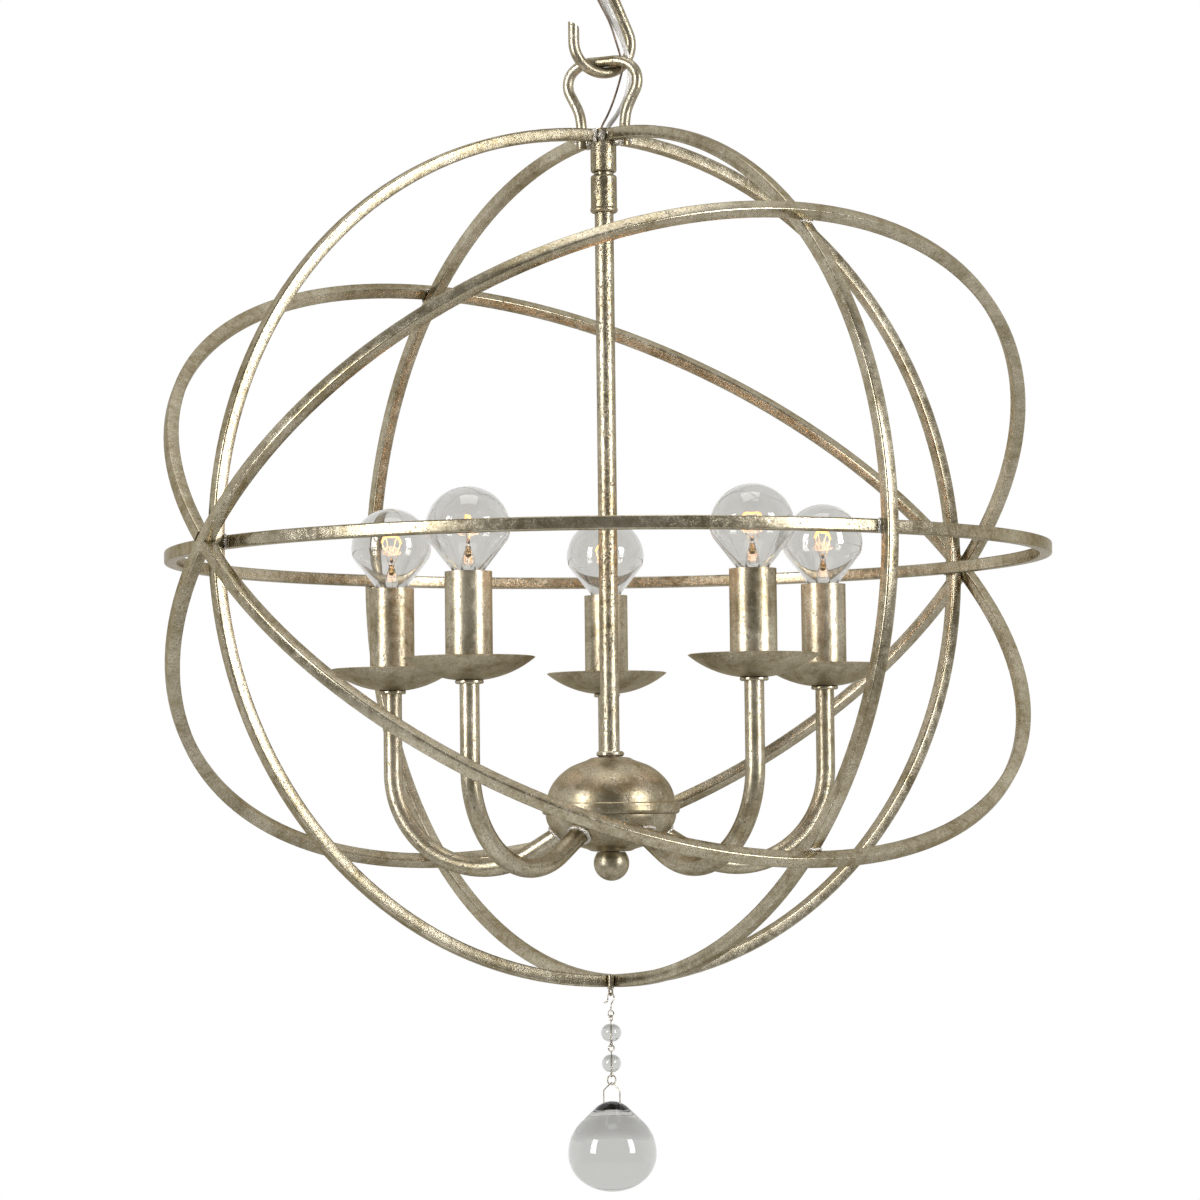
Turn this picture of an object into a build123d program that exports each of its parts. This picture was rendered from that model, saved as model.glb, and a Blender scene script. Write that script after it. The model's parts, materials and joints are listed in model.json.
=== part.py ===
from build123d import *
import math
import os

# Orb chandelier: a cage of five square-bar rings hung on a hook, with a five-light
# candle cluster on a swivelling stem inside it and a glass drop below it.
# Millimetres. The model is laid out about the middle of the orb, +Z up, and every
# piece is then moved so that the origin is the hook's mount at the top.

# ---- cage ----
equator_radius = 275.5        # centre line of the level ring, the innermost one
ring_bar = 7.8                # side of the square bar
ring_gap = 0.2                # between the faces of rings that cross
ring_slope_gap = 0.3          # more, where a tilted ring lies on a standing ring's slope
ring_cut_gap = 0.1            # where a ring is cut to fit another, or the collar
ring_flatten = 0.9443         # height of the standing rings over their width
ring_azimuth = 35.0           # line that the level, tilted and first standing ring share
ring_tilt = 42.5              # of the two tilted rings, from level

seam_radius = 1.25            # of the weld beads
seam_side = 0.5               # of a bead's middle beside the bar
seam_out = 0.3                # and outside the face it lies on
crossing_seam_half = 3.2      # half lengths
corner_seam_half = 3.0
corner_seam_out = 1.0
corner_seam_drop = 0.5
leg_seam_half = 3.6
leg_seam_out = 0.2
leg_seam_turn = 38.0

# ---- hook and hanging loop ----
hook_rod = 7.0
hook_bowl_radius = 19.2
hook_azimuth = 20.0
hook_bowl_height = 327.7      # centre of the bowl above the middle of the orb
hook_lean = 24.0              # of the limb where it swings back over the bowl
hook_tip_rise = 12.5
hook_tip_slant = 32.0         # of the cut across the free end
hook_tip_trim = 0.5
hook_shank_length = 24.0
hook_bend_radius = 14.0       # between the limb and the shank
loop_rod = 6.8
loop_azimuth = -25.0
loop_half_width = 26.0
loop_shoulder_height = 15.0   # of the widest place under the crown
loop_leg_offset = 15.1
loop_leg_top = 274.5
loop_leg_bottom = 256.0
loop_bends = [18.0, 8.6, 28.0]   # at the leg, the shoulder and the crown
loop_crown_half = 13.6        # of the crown's straight run, before its bends
rod_contact_gap = 0.1         # between the hook's rod and the loop's crown

# ---- collar, swivel and stem ----
collar_diameter = 16.5
collar_top = 272.0
collar_bottom = 244.3
collar_mouth = 11.4
thread_diameter = 9.8         # the tube thread that the fixture is screwed together on
thread_clearance = 0.05
wireway = 7.2                 # bore of every threaded tube
hole_clearance = 0.1          # of a plain hole round the thread
collar_thread_depth = 14.0
nipple_thread_length = 13.5
neck_diameter = 12.4
neck_height = 1.5
journal_diameter = 9.0
journal_clearance = 0.06
journal_length = 8.8
swivel_head_diameter = 11.6
swivel_head_height = 3.0
swivel_collar_diameter = 16.6
swivel_collar_length = 24.3
swivel_lip_height = 3.6
swivel_lip_diameter = 17.5
swivel_gap = 0.1              # between faces that turn on each other
stem_diameter = 12.0
stem_wall = 1.0
stem_seat_depth = 11.0
stem_foot = -123.5
screw_height = 238.4
screw_thread = 3.9
screw_head = 5.4
screw_head_height = 1.3
screw_sink = 0.15             # of the head's face under the collar's
screw_tip_gap = 0.25          # to the journal, when it is backed off
screw_clearance = 0.05
screw_seat_clearance = 0.1
cross_width = 0.7
cross_length = 2.8
cross_depth = 0.8

# ---- hub ----
washer_diameter = 17.4
washer_height = 3.4
dome_radius = 40.4
dome_height = 29.0
belt_radius = 43.4
belt_height = 7.0
belt_roll = 1.8               # height of the rounded corner of the belt
bowl_radius = 41.2
bowl_depth = 24.0
hub_wall = 1.5
finial_diameter = 22.4
finial_sink = 7.0             # centre of the ball under the bowl's lowest point
finial_hole_depth = 7.0
hub_nipple_foot = 6.0         # under the bowl's lowest point
hub_nipple_rise = 16.0        # into the stem
nut_width = 14.0
nut_height = 3.0
nut_gap = 0.3

# ---- arms and candles ----
arm_count = 5
arm_circle = 146.0            # from the stem to each candle
first_arm_azimuth = 18.7
arm_diameter = 12.0
arm_wall = 1.2
arm_thread_play = 0.1
arm_bend = 61.0
arm_bend_height = -135.0
arm_tail_angle = 31.0
arm_inner_radius = 31.5
arm_top = -84.4
arm_hole_clearance = 0.05
weld_clearance = 0.02
weld_skin = 0.06
arm_weld_spread = 0.7         # of the weld ring's middle outside the arm
arm_weld_radius = 1.5
pan_radius = 40.0
pan_depth = 13.4
pan_wall = 1.2
pan_flat_radius = 9.0
pan_lip = 0.5                 # how far the rolled rim stands above the dish
pan_swell = 0.05              # of the wall half way out
pan_rim_width = 0.9
pan_hole_clearance = 0.2
pan_washer_height = 2.4
sleeve_lift = 1.35            # of the sleeve's foot above the dish's floor
sleeve_diameter = 28.7
sleeve_wall = 1.1
sleeve_top = -16.6
socket_diameter = 22.0
socket_top = -27.0
socket_bore = 12.4
socket_bore_depth = 18.0
socket_foot_height = 6.0
socket_taper = 3.0            # out and up, from the foot to the body
socket_gap = 0.2
socket_thread_gap = 0.5
nipple_top = -70.5
nipple_bottom = -100.0
bulb_radius = 25.8
bulb_centre = 9.2
bulb_neck_radius = 6.4
bulb_neck_top = -20.4
bulb_neck_bottom = -24.0
bulb_cone_angle = 37.6
glass_wall = 0.7
base_diameter = 11.9
base_shell_bottom = -38.0
base_tip_bottom = -44.5
base_wall = 0.6
base_glue = 0.05              # between the glass and the screw shell
base_cup_depth = 4.0
bulb_foot_thickness = 1.5
base_cone_height = 3.4        # of the insulated foot
base_cone_inset = 2.4
contact_radius = 2.2
wire_diameter = 3.0
wire_top_gap = 0.4
wire_tail = 5.0

# ---- glass drop and its chain ----
chain_azimuth = 30.0
bail_azimuth = -40.0
eyelet_pin = 4.0
eyelet_round = 0.6
eyelet_rise = 0.4             # over the bar
eyelet_side_gap = 0.1         # to both bars
eye_gap = 0.2                 # under the bar
eye_sink = 0.2                # of the pin's foot into the eye's wire
eye_wire = 1.2
eye_radius = 2.05
link_wire = 0.9
link_gap = 0.1
# Wire hook, out from the chain's line and up from its crown, and its bends.
drop_hook_route = [(-4.7, -5.7), (-2.15, -5.2), (-2.15, 0.0), (2.2, 0.0), (2.35, -3.4), (0.0, -7.4)]
drop_hook_bends = [1.2, 2.05, 2.05, 1.6, 2.0]
hook_loop_radius = 1.95
hook_length = 12.7            # from the hook's crown to the middle of its loop
pin_1_top_loop = 1.7
pin_1_foot_loop = 1.25
pin_2_top_loop = 2.0
pin_2_foot_loop = 1.1
pin_neck = 2.0                # straight wire between a loop and a bead
bead_1_diameter = 12.8
bead_1_height = 11.0
bead_2_diameter = 12.0
bead_2_height = 11.0
bead_hole = 1.5
bead_seat = 0.15
bead_flat = 0.04              # share that each end of a bead is ground away
jump_ring_radius = 2.95
bail_wire = 0.8
bail_half_width = 6.6
bail_shoulder_drop = 4.6
bail_leg_length = 13.0
bail_peak = 0.55              # of the roof's corner above its rounded top
bail_hole_clearance = 0.08
bail_hole_gap = 0.1
drop_radius = 27.7
drop_waist = 32.6             # from the top to the widest place
drop_shoulder = 46.5          # degrees up from the widest place where the ball turns to a cone
drop_side_bend = 22.0
drop_side_turn = 55.0
drop_apex_below_bail = 11.2

# ---- wires ----
lead_diameter = 4.6
ground_diameter = 1.4
# Routes from the top end down to the collar's mouth, about the middle of the orb.
lead_route = [
    (-7.0, -8.5, 377.0),
    (-3.4, -6.8, 364.5),
    (2.6, -5.2, 351.0),
    (9.6, -3.6, 337.0),
    (15.2, -2.2, 322.5),
    (18.2, 0.6, 308.5),
    (15.6, 3.4, 294.5),
    (9.4, 3.0, 282.0),
]
ground_route = [
    (-10.6, -9.6, 373.0),
    (-6.8, -9.4, 363.0),
    (-1.2, -8.6, 351.5),
    (5.2, -7.0, 339.5),
    (9.0, -5.4, 327.0),
    (13.4, -0.5, 313.0),
    (11.0, -0.2, 303.5),
    (7.4, 0.4, 292.0),
    (3.2, 0.4, 281.5),
]
lead_offset = 1.0             # of the lead from the axis inside the tubes
ground_offset = -2.55
lead_turn_height = -143.0
lead_end_radius = 21.0
ground_turn_height = -147.0
ground_end_radius = 17.0
cord_mouth_depth = 0.5        # of the bend at the collar's mouth
lead_tail_fall = 7.0
ground_tail_fall = 6.0
lead_connector_mouth = 3.4    # radius
ground_connector_mouth = 2.4
arm_connector_mouth = 3.4
cord_connector_length = 11.0
arm_connector_length = 12.0
window_height = 20.0
window_rise = 7.0             # of the windows' top above the lead's turn
window_width = 5.6

# ---- worked out ----
standing_radius = equator_radius + ring_bar + ring_gap
standing_height = standing_radius * ring_flatten
tilted_radius = standing_radius + ring_bar + ring_gap
hook_bottom = hook_bowl_height - hook_bowl_radius
crown_height = hook_bottom + (hook_rod + loop_rod) / 2 + rod_contact_gap
swivel_top = collar_bottom - neck_height - swivel_gap
swivel_foot = swivel_top - swivel_collar_length
journal_foot = collar_bottom - neck_height - journal_length
dome_top = stem_foot - washer_height
belt_top = dome_top - dome_height
belt_foot = belt_top - belt_height
bowl_foot = belt_foot - bowl_depth
stem_top = swivel_foot + stem_seat_depth
pan_foot = arm_top + pan_washer_height
pan_floor = pan_foot + pan_wall
pan_curve = (pan_radius ** 2 + pan_depth ** 2) / (2 * pan_depth)
threaded_radius = thread_diameter / 2
window_top = lead_turn_height + window_rise
arm_azimuths = [first_arm_azimuth + k * 360 / arm_count for k in range(arm_count)]
rising = (Align.CENTER, Align.CENTER, Align.MIN)
falling = (Align.CENTER, Align.CENTER, Align.MAX)


def at_azimuth(shape, degrees):
    return shape.rotate(Axis.Z, degrees)


def hook_limb():
    """Ends of the leaning limb, as (reach, height): at the bowl, and under the shank."""
    lean = math.radians(hook_lean)
    out = hook_bowl_radius * math.cos(lean)
    foot = hook_bowl_height + hook_bowl_radius * math.sin(lean)
    back = hook_bend_radius * (1 - math.cos(lean))
    return (out, foot), (back, foot + (out - back) / math.tan(lean))


limb_foot, limb_head = hook_limb()
shank_foot = limb_head[1] + hook_bend_radius * math.sin(math.radians(hook_lean))
shank_top = shank_foot + hook_shank_length
mount_height = shank_top - hook_shank_length / 2


def at_arms(shape):
    """One copy for every arm."""
    return [at_azimuth(shape, azimuth) for azimuth in arm_azimuths]


def save(name, *solids):
    """Write one node, with the origin at the hook's mount."""
    shape = solids[0] if len(solids) == 1 else Compound(children=list(solids))
    export_step(shape.moved(Location((0, 0, -mount_height))), f"parts/{name}.step")


def tube(radius, bore_radius, low, high):
    body = Cylinder(radius, high - low, align=rising)
    hole = Cylinder(bore_radius, high - low, align=rising)
    return Pos(0, 0, low) * (body - hole)


def rod(radius, low, high):
    return Pos(0, 0, low) * Cylinder(radius, high - low, align=rising)


def turned(points):
    """Solid of revolution of a closed outline of (radius, height) points."""
    outline = Polyline(*[(x, 0, z) for x, z in points], close=True)
    return revolve(make_face(outline), Axis.Z)


def turned_outline(edges):
    return revolve(make_face(edges), Axis.Z)


def swept_rod(path, radius):
    """Round rod along a path."""
    start = Plane(origin=path @ 0, z_dir=path % 0)
    return sweep(start * Circle(radius), path=path)


# ---------------------------------------------------------------- cage


def ring(half_width, half_height, half_bar=ring_bar / 2):
    """Square bar bent to an oval, standing in the XZ plane."""
    outer = Ellipse(half_width + half_bar, half_height + half_bar)
    inner = Ellipse(half_width - half_bar, half_height - half_bar)
    return Plane.XZ * extrude(outer - inner, half_bar, both=True)


def standing_distance(angle):
    """Centre line of a standing ring, from the middle of the orb, at an angle above level."""
    across = math.cos(math.radians(angle)) / standing_radius
    up = math.sin(math.radians(angle)) / standing_height
    return 1 / math.hypot(across, up)


tilted_half_height = standing_distance(ring_tilt) + ring_bar + ring_gap + ring_slope_gap


def tilted_ring(angle, half_bar=ring_bar / 2):
    """Oval ring about the shared line, its far side raised by the angle."""
    flat = ring(tilted_radius, tilted_half_height, half_bar)
    return at_azimuth(flat.rotate(Axis.X, angle - 90), ring_azimuth)


def cage_rings():
    level = Circle(equator_radius + ring_bar / 2) - Circle(equator_radius - ring_bar / 2)
    equator = extrude(level, ring_bar / 2, both=True)
    collar_space = rod(collar_diameter / 2 + ring_cut_gap, 0, standing_height + ring_bar)
    first = at_azimuth(ring(standing_radius, standing_height), ring_azimuth) - collar_space
    second = at_azimuth(ring(standing_radius, standing_height), ring_azimuth + 90)
    # The second ring is cut and coped against the first one's sides at the bottom.
    cope = Box(standing_radius, ring_bar + 2 * ring_cut_gap, ring_bar * 3)
    second = second - collar_space - Pos(0, 0, -standing_height) * at_azimuth(cope, ring_azimuth)
    tilted_1 = tilted_ring(-ring_tilt)
    # So is the second tilted ring, where the two meet on the shared line.
    whole = tilted_ring(ring_tilt)
    near = at_azimuth(Box(4 * tilted_radius, ring_bar * 3, ring_bar * 3), ring_azimuth)
    tilted_2 = whole - (tilted_ring(-ring_tilt, ring_bar / 2 + ring_cut_gap) & near)
    return equator, first, second, tilted_1, tilted_2


def seam(x, y, half_length):
    """Upright weld bead, about the level plane."""
    start = (x, y, -half_length)
    end = (x, y, half_length)
    body = swept_rod(Line(start, end), seam_radius)
    return body + Pos(*start) * Sphere(seam_radius) + Pos(*end) * Sphere(seam_radius)


def crossing_seams(bearing, height, radial, lean):
    """Beads in the two corners where one ring crosses outside another.

    bearing, height and radial place the crossing, and lean turns the beads about the
    outward direction until they run along the outer bar's sides.
    """
    side = ring_bar / 2 + seam_side
    pitch = math.degrees(math.atan2(height, radial))
    beads = []
    for sign in (-1, 1):
        bead = seam(0, sign * side, crossing_seam_half).rotate(Axis.X, lean)
        bead = (Pos(math.hypot(radial, height), 0, 0) * bead).rotate(Axis.Y, -pitch)
        beads.append(at_azimuth(bead, bearing))
    return beads


def cage_welds(rings, collar, loop):
    """Every weld bead of the cage, cut to the bars that it joins."""
    level_face = equator_radius + ring_bar / 2 + seam_out
    beads = []
    for turn in (90, 270, 0, 180):
        beads += crossing_seams(ring_azimuth + turn, 0, level_face, 0)
    outer_face = standing_distance(ring_tilt) + ring_bar / 2 + seam_out
    rise = outer_face * math.sin(math.radians(ring_tilt))
    reach = outer_face * math.cos(math.radians(ring_tilt))
    for turn in (90, 270):
        for sign in (1, -1):
            beads += crossing_seams(ring_azimuth + turn, sign * rise, reach, 90)
    corner = seam(collar_diameter / 2 + corner_seam_out, ring_bar / 2 + seam_out, corner_seam_half)
    corner = Pos(0, 0, standing_height - corner_seam_drop) * corner
    for k in range(4):
        beads.append(at_azimuth(corner, ring_azimuth + 90 * k))
    leg = seam(loop_rod / 2 + leg_seam_out, 0, leg_seam_half)
    for side in (0, 180):
        for turn in (-leg_seam_turn, leg_seam_turn):
            bead = Pos(loop_leg_offset, 0, standing_height) * leg.rotate(Axis.Z, turn)
            beads.append(at_azimuth(bead, loop_azimuth + side))
    bodies = [*rings, collar, loop]
    solids = [solid for body in bodies for solid in body.solids()]
    return [largest(cut_to_fit(bead, solids)) for bead in beads]


def largest(shape):
    return max(shape.solids(), key=lambda s: s.volume)


def cut_to_fit(bead, solids):
    """What is left of a bead outside the solids that it touches."""
    near = bead.bounding_box()
    for solid in solids:
        if boxes_meet(near, solid.bounding_box()):
            bead = bead - solid
    return bead


def boxes_meet(a, b):
    low = max(a.min.X - b.max.X, a.min.Y - b.max.Y, a.min.Z - b.max.Z)
    high = max(b.min.X - a.max.X, b.min.Y - a.max.Y, b.min.Z - a.max.Z)
    return max(low, high) <= 0


def ceiling_hook():
    """Open hook whose limb swings back over its bowl to a straight shank."""
    tip = (-hook_bowl_radius, 0, hook_bowl_height + hook_tip_rise)
    left = (-hook_bowl_radius, 0, hook_bowl_height)
    bottom = (0, 0, hook_bottom)
    limb = (limb_foot[0], 0, limb_foot[1])
    bend = (limb_head[0], 0, limb_head[1])
    mid = math.radians(hook_lean / 2)
    halfway = (hook_bend_radius * (1 - math.cos(mid)), 0, shank_foot - hook_bend_radius * math.sin(mid))
    path = Wire([
        Line(tip, left),
        ThreePointArc(left, bottom, limb),
        Line(limb, bend),
        ThreePointArc(bend, halfway, (0, 0, shank_foot)),
        Line((0, 0, shank_foot), (0, 0, shank_top)),
    ])
    start = Plane(origin=tip, z_dir=(0, 0, -1))
    body = sweep(start * Circle(hook_rod / 2), path=path)
    # The free end is cut off on the slant.
    cutter = Pos(0, 0, hook_tip_trim) * Box(3 * hook_rod, 3 * hook_rod, 1.4 * hook_rod, align=rising)
    body = body - Pos(*tip) * Rot(0, hook_tip_slant, 0) * cutter
    return at_azimuth(body, hook_azimuth)


def hanging_loop():
    """Omega of round rod: a crown over the hook, and two legs between the cage's bars."""
    shoulder = crown_height - loop_shoulder_height
    half = [
        (-loop_leg_offset, 0, loop_leg_bottom),
        (-loop_leg_offset, 0, loop_leg_top),
        (-loop_half_width, 0, shoulder),
        (-loop_crown_half, 0, crown_height),
    ]
    points = half + [(-x, y, z) for x, y, z in reversed(half)]
    path = FilletPolyline(*points, radius=[*loop_bends, *reversed(loop_bends)])
    return at_azimuth(swept_rod(path, loop_rod / 2), loop_azimuth)


def top_collar():
    """Short tube that the standing rings and the loop are welded to, threaded below."""
    radius = collar_diameter / 2
    bore = threaded_radius + thread_clearance
    thread_top = collar_bottom + collar_thread_depth
    return turned([
        (bore, collar_bottom),
        (radius - 1.3, collar_bottom),
        (radius - 0.4, collar_bottom + 0.5),
        (radius, collar_bottom + 1.4),
        (radius, collar_top),
        (collar_mouth / 2, collar_top),
        (collar_mouth / 2, thread_top),
        (bore, thread_top),
    ])


def bottom_eyelet():
    """Short pin in the front corner of the lowest joint, with the drop's eye under it."""
    foot = eye_height + eye_radius - eye_sink
    pin = rod(eyelet_pin / 2, foot, -standing_height + ring_bar / 2 + eyelet_rise)
    pin = fillet(pin.edges().sort_by(Axis.Z)[-1], eyelet_round)
    return drop_place * (pin + wire_ring(eye_radius, eye_wire, eye_height, chain_azimuth + 90))


eye_height = -standing_height - ring_bar / 2 - eye_gap - eye_radius - eye_wire / 2
eye_reach = (ring_bar / 2 + eyelet_pin / 2 + eyelet_side_gap) * math.sqrt(2)
drop_place = Rot(0, 0, ring_azimuth + 225) * Pos(eye_reach, 0, 0) * Rot(0, 0, -ring_azimuth - 225)
eye_foot = eye_height - eye_radius
hook_crown = eye_foot + (eye_wire + link_wire) / 2 + link_gap


# ---------------------------------------------------------------- swivel and stem


def swivel_nipple():
    """Threaded tube in the collar, with a shoulder, a plain journal and a head below."""
    bore = wireway / 2
    shoulder = collar_bottom - neck_height
    head_top = journal_foot - swivel_gap
    return turned([
        (bore, collar_bottom + nipple_thread_length),
        (threaded_radius, collar_bottom + nipple_thread_length),
        (threaded_radius, collar_bottom),
        (neck_diameter / 2, collar_bottom),
        (neck_diameter / 2, shoulder),
        (journal_diameter / 2, shoulder),
        (journal_diameter / 2, head_top),
        (swivel_head_diameter / 2, head_top),
        (swivel_head_diameter / 2, head_top - swivel_head_height),
        (bore, head_top - swivel_head_height),
    ])


def swivel_collar():
    """Turning collar, hung on the nipple's head and closed on the stem below."""
    radius = swivel_collar_diameter / 2
    lip = swivel_lip_diameter / 2
    bore = journal_diameter / 2 + journal_clearance
    cavity = stem_diameter / 2 + thread_clearance
    body = turned([
        (bore, swivel_top),
        (radius - 1.3, swivel_top),
        (radius - 0.4, swivel_top - 0.5),
        (radius, swivel_top - 1.4),
        (radius, swivel_foot + swivel_lip_height),
        (lip - 0.3, swivel_foot + swivel_lip_height - 0.4),
        (lip, swivel_foot + swivel_lip_height - 1.2),
        (lip, swivel_foot + 1.4),
        (lip - 0.9, swivel_foot + 0.3),
        (lip - 1.7, swivel_foot),
        (cavity, swivel_foot),
        (cavity, journal_foot),
        (bore, journal_foot),
    ])
    hole = Cylinder(screw_thread / 2 + screw_clearance, 2 * radius, align=rising)
    seat = Cylinder(screw_head / 2 + screw_seat_clearance, radius, align=rising)
    seat = Pos(0, 0, radius - screw_head_height - screw_sink) * seat
    return body - Pos(0, 0, screw_height) * Rot(90, 0, 0) * (hole + seat)


def set_screw():
    """Cross-head screw that locks the swivel."""
    radius = swivel_collar_diameter / 2
    tip = journal_diameter / 2 + screw_tip_gap
    face = radius - screw_sink
    shank_length = face - screw_head_height - tip
    shank = Cylinder(screw_thread / 2, shank_length, align=rising)
    head = Pos(0, 0, shank_length) * Cylinder(screw_head / 2, screw_head_height, align=rising)
    body = fillet((shank + head).edges().sort_by(Axis.Z)[-1], 0.4)
    slot = Box(cross_length, cross_width, 2 * cross_depth)
    body = body - Pos(0, 0, face - tip) * (slot + Rot(0, 0, 90) * slot)
    return Pos(0, -tip, screw_height) * Rot(90, 0, 0) * body


def hub_nipple():
    """Threaded tube from the stem's foot to the finial, open on both sides for the wires."""
    low = bowl_foot - hub_nipple_foot
    high = stem_foot + hub_nipple_rise
    body = tube(threaded_radius, wireway / 2, low, high)
    window = Box(4 * threaded_radius, window_width, window_height, align=falling)
    return body - Pos(0, 0, window_top) * window


def nut(height, low):
    body = extrude(RegularPolygon(nut_width / 2, 6, major_radius=False), height)
    hole = Cylinder(threaded_radius + thread_clearance, height * 3)
    return Pos(0, 0, low) * (body - hole)


def seat_washer(bore, low, high):
    """Round-edged washer."""
    radius = washer_diameter / 2
    soft = (high - low) * 0.3
    return turned([
        (bore, low),
        (radius - soft, low),
        (radius, low + soft),
        (radius, high - soft),
        (radius - soft, high),
        (bore, high),
    ])


# ---------------------------------------------------------------- hub


def oval_shell(radius, height, wall, bore, centre, up):
    """Half an egg of sheet, open at its wide end, with a hole at its pole."""
    sign = 1 if up else -1

    def arc_points(r, h, count=7):
        start = math.asin(bore / r)
        span = [math.pi / 2 + (start - math.pi / 2) * k / (count - 1) for k in range(count)]
        return [(r * math.sin(a), 0, centre + sign * h * math.cos(a)) for a in span]

    outer = arc_points(radius, height)
    inner = arc_points(radius - wall, height - wall)
    edges = Spline(*outer, tangents=[(0, 0, sign), (-1, 0, 0)])
    edges += Line(outer[-1], inner[-1])
    edges += Spline(*inner, tangents=[(0, 0, sign), (-1, 0, 0)])
    edges += Line(inner[0], outer[0])
    return turned_outline(edges)


def hub_dome():
    """Upper shell of the hub, whose rim stands inside the belt."""
    return oval_shell(dome_radius, dome_height, hub_wall, threaded_radius + hole_clearance, belt_top, True)


def bowl_shape(radius, depth, top):
    """Filled lower half, for cutting."""
    egg = scale(Sphere(radius), by=(1, 1, depth / radius))
    below = Box(4 * radius, 4 * radius, 4 * radius, align=falling)
    return Pos(0, 0, top) * (egg & below)


def hub_bowl(arm_holes):
    """Lower shell with the rolled belt round its rim and a hole for every arm."""
    shell = oval_shell(bowl_radius, bowl_depth, hub_wall, threaded_radius + hole_clearance, belt_foot, False)
    belt = turned([
        (bowl_radius - hub_wall, belt_foot),
        (bowl_radius - 0.1, belt_foot - 0.6),
        (belt_radius - 0.9, belt_foot),
        (belt_radius - 0.2, belt_foot + 0.7),
        (belt_radius, belt_foot + belt_roll),
        (belt_radius, belt_top - belt_roll),
        (belt_radius - 0.2, belt_top - 0.7),
        (belt_radius - 0.9, belt_top),
        (dome_radius - hub_wall, belt_top),
    ])
    body = shell + belt
    for hole in arm_holes:
        body = body - hole
    return body


def finial_ball():
    """Ball that closes the hub from below, drilled for the threaded tube."""
    ball = Pos(0, 0, bowl_foot - finial_sink) * Sphere(finial_diameter / 2)
    size = 2 * finial_diameter
    ball = ball - Pos(0, 0, bowl_foot) * Box(size, size, size, align=rising)
    return ball - rod(threaded_radius + thread_clearance, bowl_foot - finial_hole_depth, bowl_foot + 1)


# ---------------------------------------------------------------- arms and candles


def arm_path():
    """Centre line in the XZ plane: down from the pan, round under, and up into the hub."""
    tail = math.radians(arm_tail_angle)
    centre = arm_circle - arm_bend
    foot = (arm_circle, 0, arm_bend_height)
    low = (centre, 0, arm_bend_height - arm_bend)
    turn = (centre - arm_bend * math.sin(tail), 0, arm_bend_height - arm_bend * math.cos(tail))
    run = (turn[0] - arm_inner_radius) / math.cos(tail)
    end = (arm_inner_radius, 0, turn[2] + run * math.sin(tail))
    return foot, low, turn, end


def past_arm_end(extra):
    """Point on the arm's centre line, beyond its end in the hub."""
    x, y, z = arm_path()[3]
    tail = math.radians(arm_tail_angle)
    return x - extra * math.cos(tail), y, z + extra * math.sin(tail)


def arm_rod(radius, top=arm_top, extra=0.0):
    foot, low, turn = arm_path()[:3]
    last = past_arm_end(extra)
    path = Wire([Line((arm_circle, 0, top), foot), ThreePointArc(foot, low, turn), Line(turn, last)])
    return sweep(Plane(origin=(arm_circle, 0, top), z_dir=(0, 0, -1)) * Circle(radius), path=path)


def arm():
    return arm_rod(arm_diameter / 2) - arm_rod(arm_diameter / 2 - arm_wall)


def arm_weld(arm_space, bowl_space):
    """Weld ring where an arm enters the bowl."""
    turn = arm_path()[2]
    tail = math.radians(arm_tail_angle)
    # Where the arm's centre line meets the bowl's outer face.
    step, place = 0.0, turn
    while (place[0] / bowl_radius) ** 2 + ((place[2] - belt_foot) / bowl_depth) ** 2 > 1:
        step += 0.05
        place = (turn[0] - step * math.cos(tail), 0, turn[2] + step * math.sin(tail))
    normal = Vector(place[0] / bowl_radius ** 2, 0, (place[2] - belt_foot) / bowl_depth ** 2)
    bead = Plane(origin=place, z_dir=normal) * Torus(arm_diameter / 2 + arm_weld_spread, arm_weld_radius)
    bead = bead - bowl_space - arm_space
    return largest(bead)


def sag(r, curve):
    """Rise of an arc of that curve over its foot, at a radius."""
    return curve - math.sqrt(curve ** 2 - r ** 2)


def drip_pan():
    """Shallow dish of sheet with a hole for the threaded tube."""
    bore = threaded_radius + pan_hole_clearance
    mid = pan_radius * 0.55
    low = pan_foot - sag(pan_flat_radius, pan_curve)
    rim = (pan_radius, 0, pan_foot + pan_depth)
    inner_rim = (pan_radius - pan_rim_width, 0, pan_foot + pan_depth + pan_lip)
    outer_mid = (mid, 0, low + sag(mid, pan_curve))
    inner_mid = (mid, 0, low + pan_wall + sag(mid, pan_curve - pan_wall) + pan_swell)
    outer_foot = (pan_flat_radius, 0, pan_foot)
    inner_foot = (pan_flat_radius, 0, pan_floor)
    edges = ThreePointArc(outer_foot, outer_mid, rim)
    edges += Line(rim, inner_rim)
    edges += ThreePointArc(inner_rim, inner_mid, inner_foot)
    edges += Line(inner_foot, (bore, 0, pan_floor))
    edges += Line((bore, 0, pan_floor), (bore, 0, pan_foot))
    edges += Line((bore, 0, pan_foot), outer_foot)
    return turned_outline(edges)


def candle_sleeve():
    radius = sleeve_diameter / 2
    return tube(radius, radius - sleeve_wall, pan_floor + sleeve_lift, sleeve_top)


def lamp_socket():
    """Candelabra lampholder, screwed on the threaded tube inside the sleeve."""
    low = pan_floor + nut_height + socket_gap
    radius = socket_diameter / 2
    foot = radius - socket_taper
    hole = threaded_radius + thread_clearance
    thread_top = nipple_top + socket_thread_gap
    bore_floor = socket_top - socket_bore_depth
    return turned([
        (0, thread_top),
        (hole, thread_top),
        (hole, low),
        (foot, low),
        (foot, low + socket_foot_height),
        (radius, low + socket_foot_height + socket_taper),
        (radius, socket_top - 1.0),
        (radius - 1.0, socket_top),
        (socket_bore / 2, socket_top),
        (socket_bore / 2, bore_floor),
        (0, bore_floor),
    ])


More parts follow.
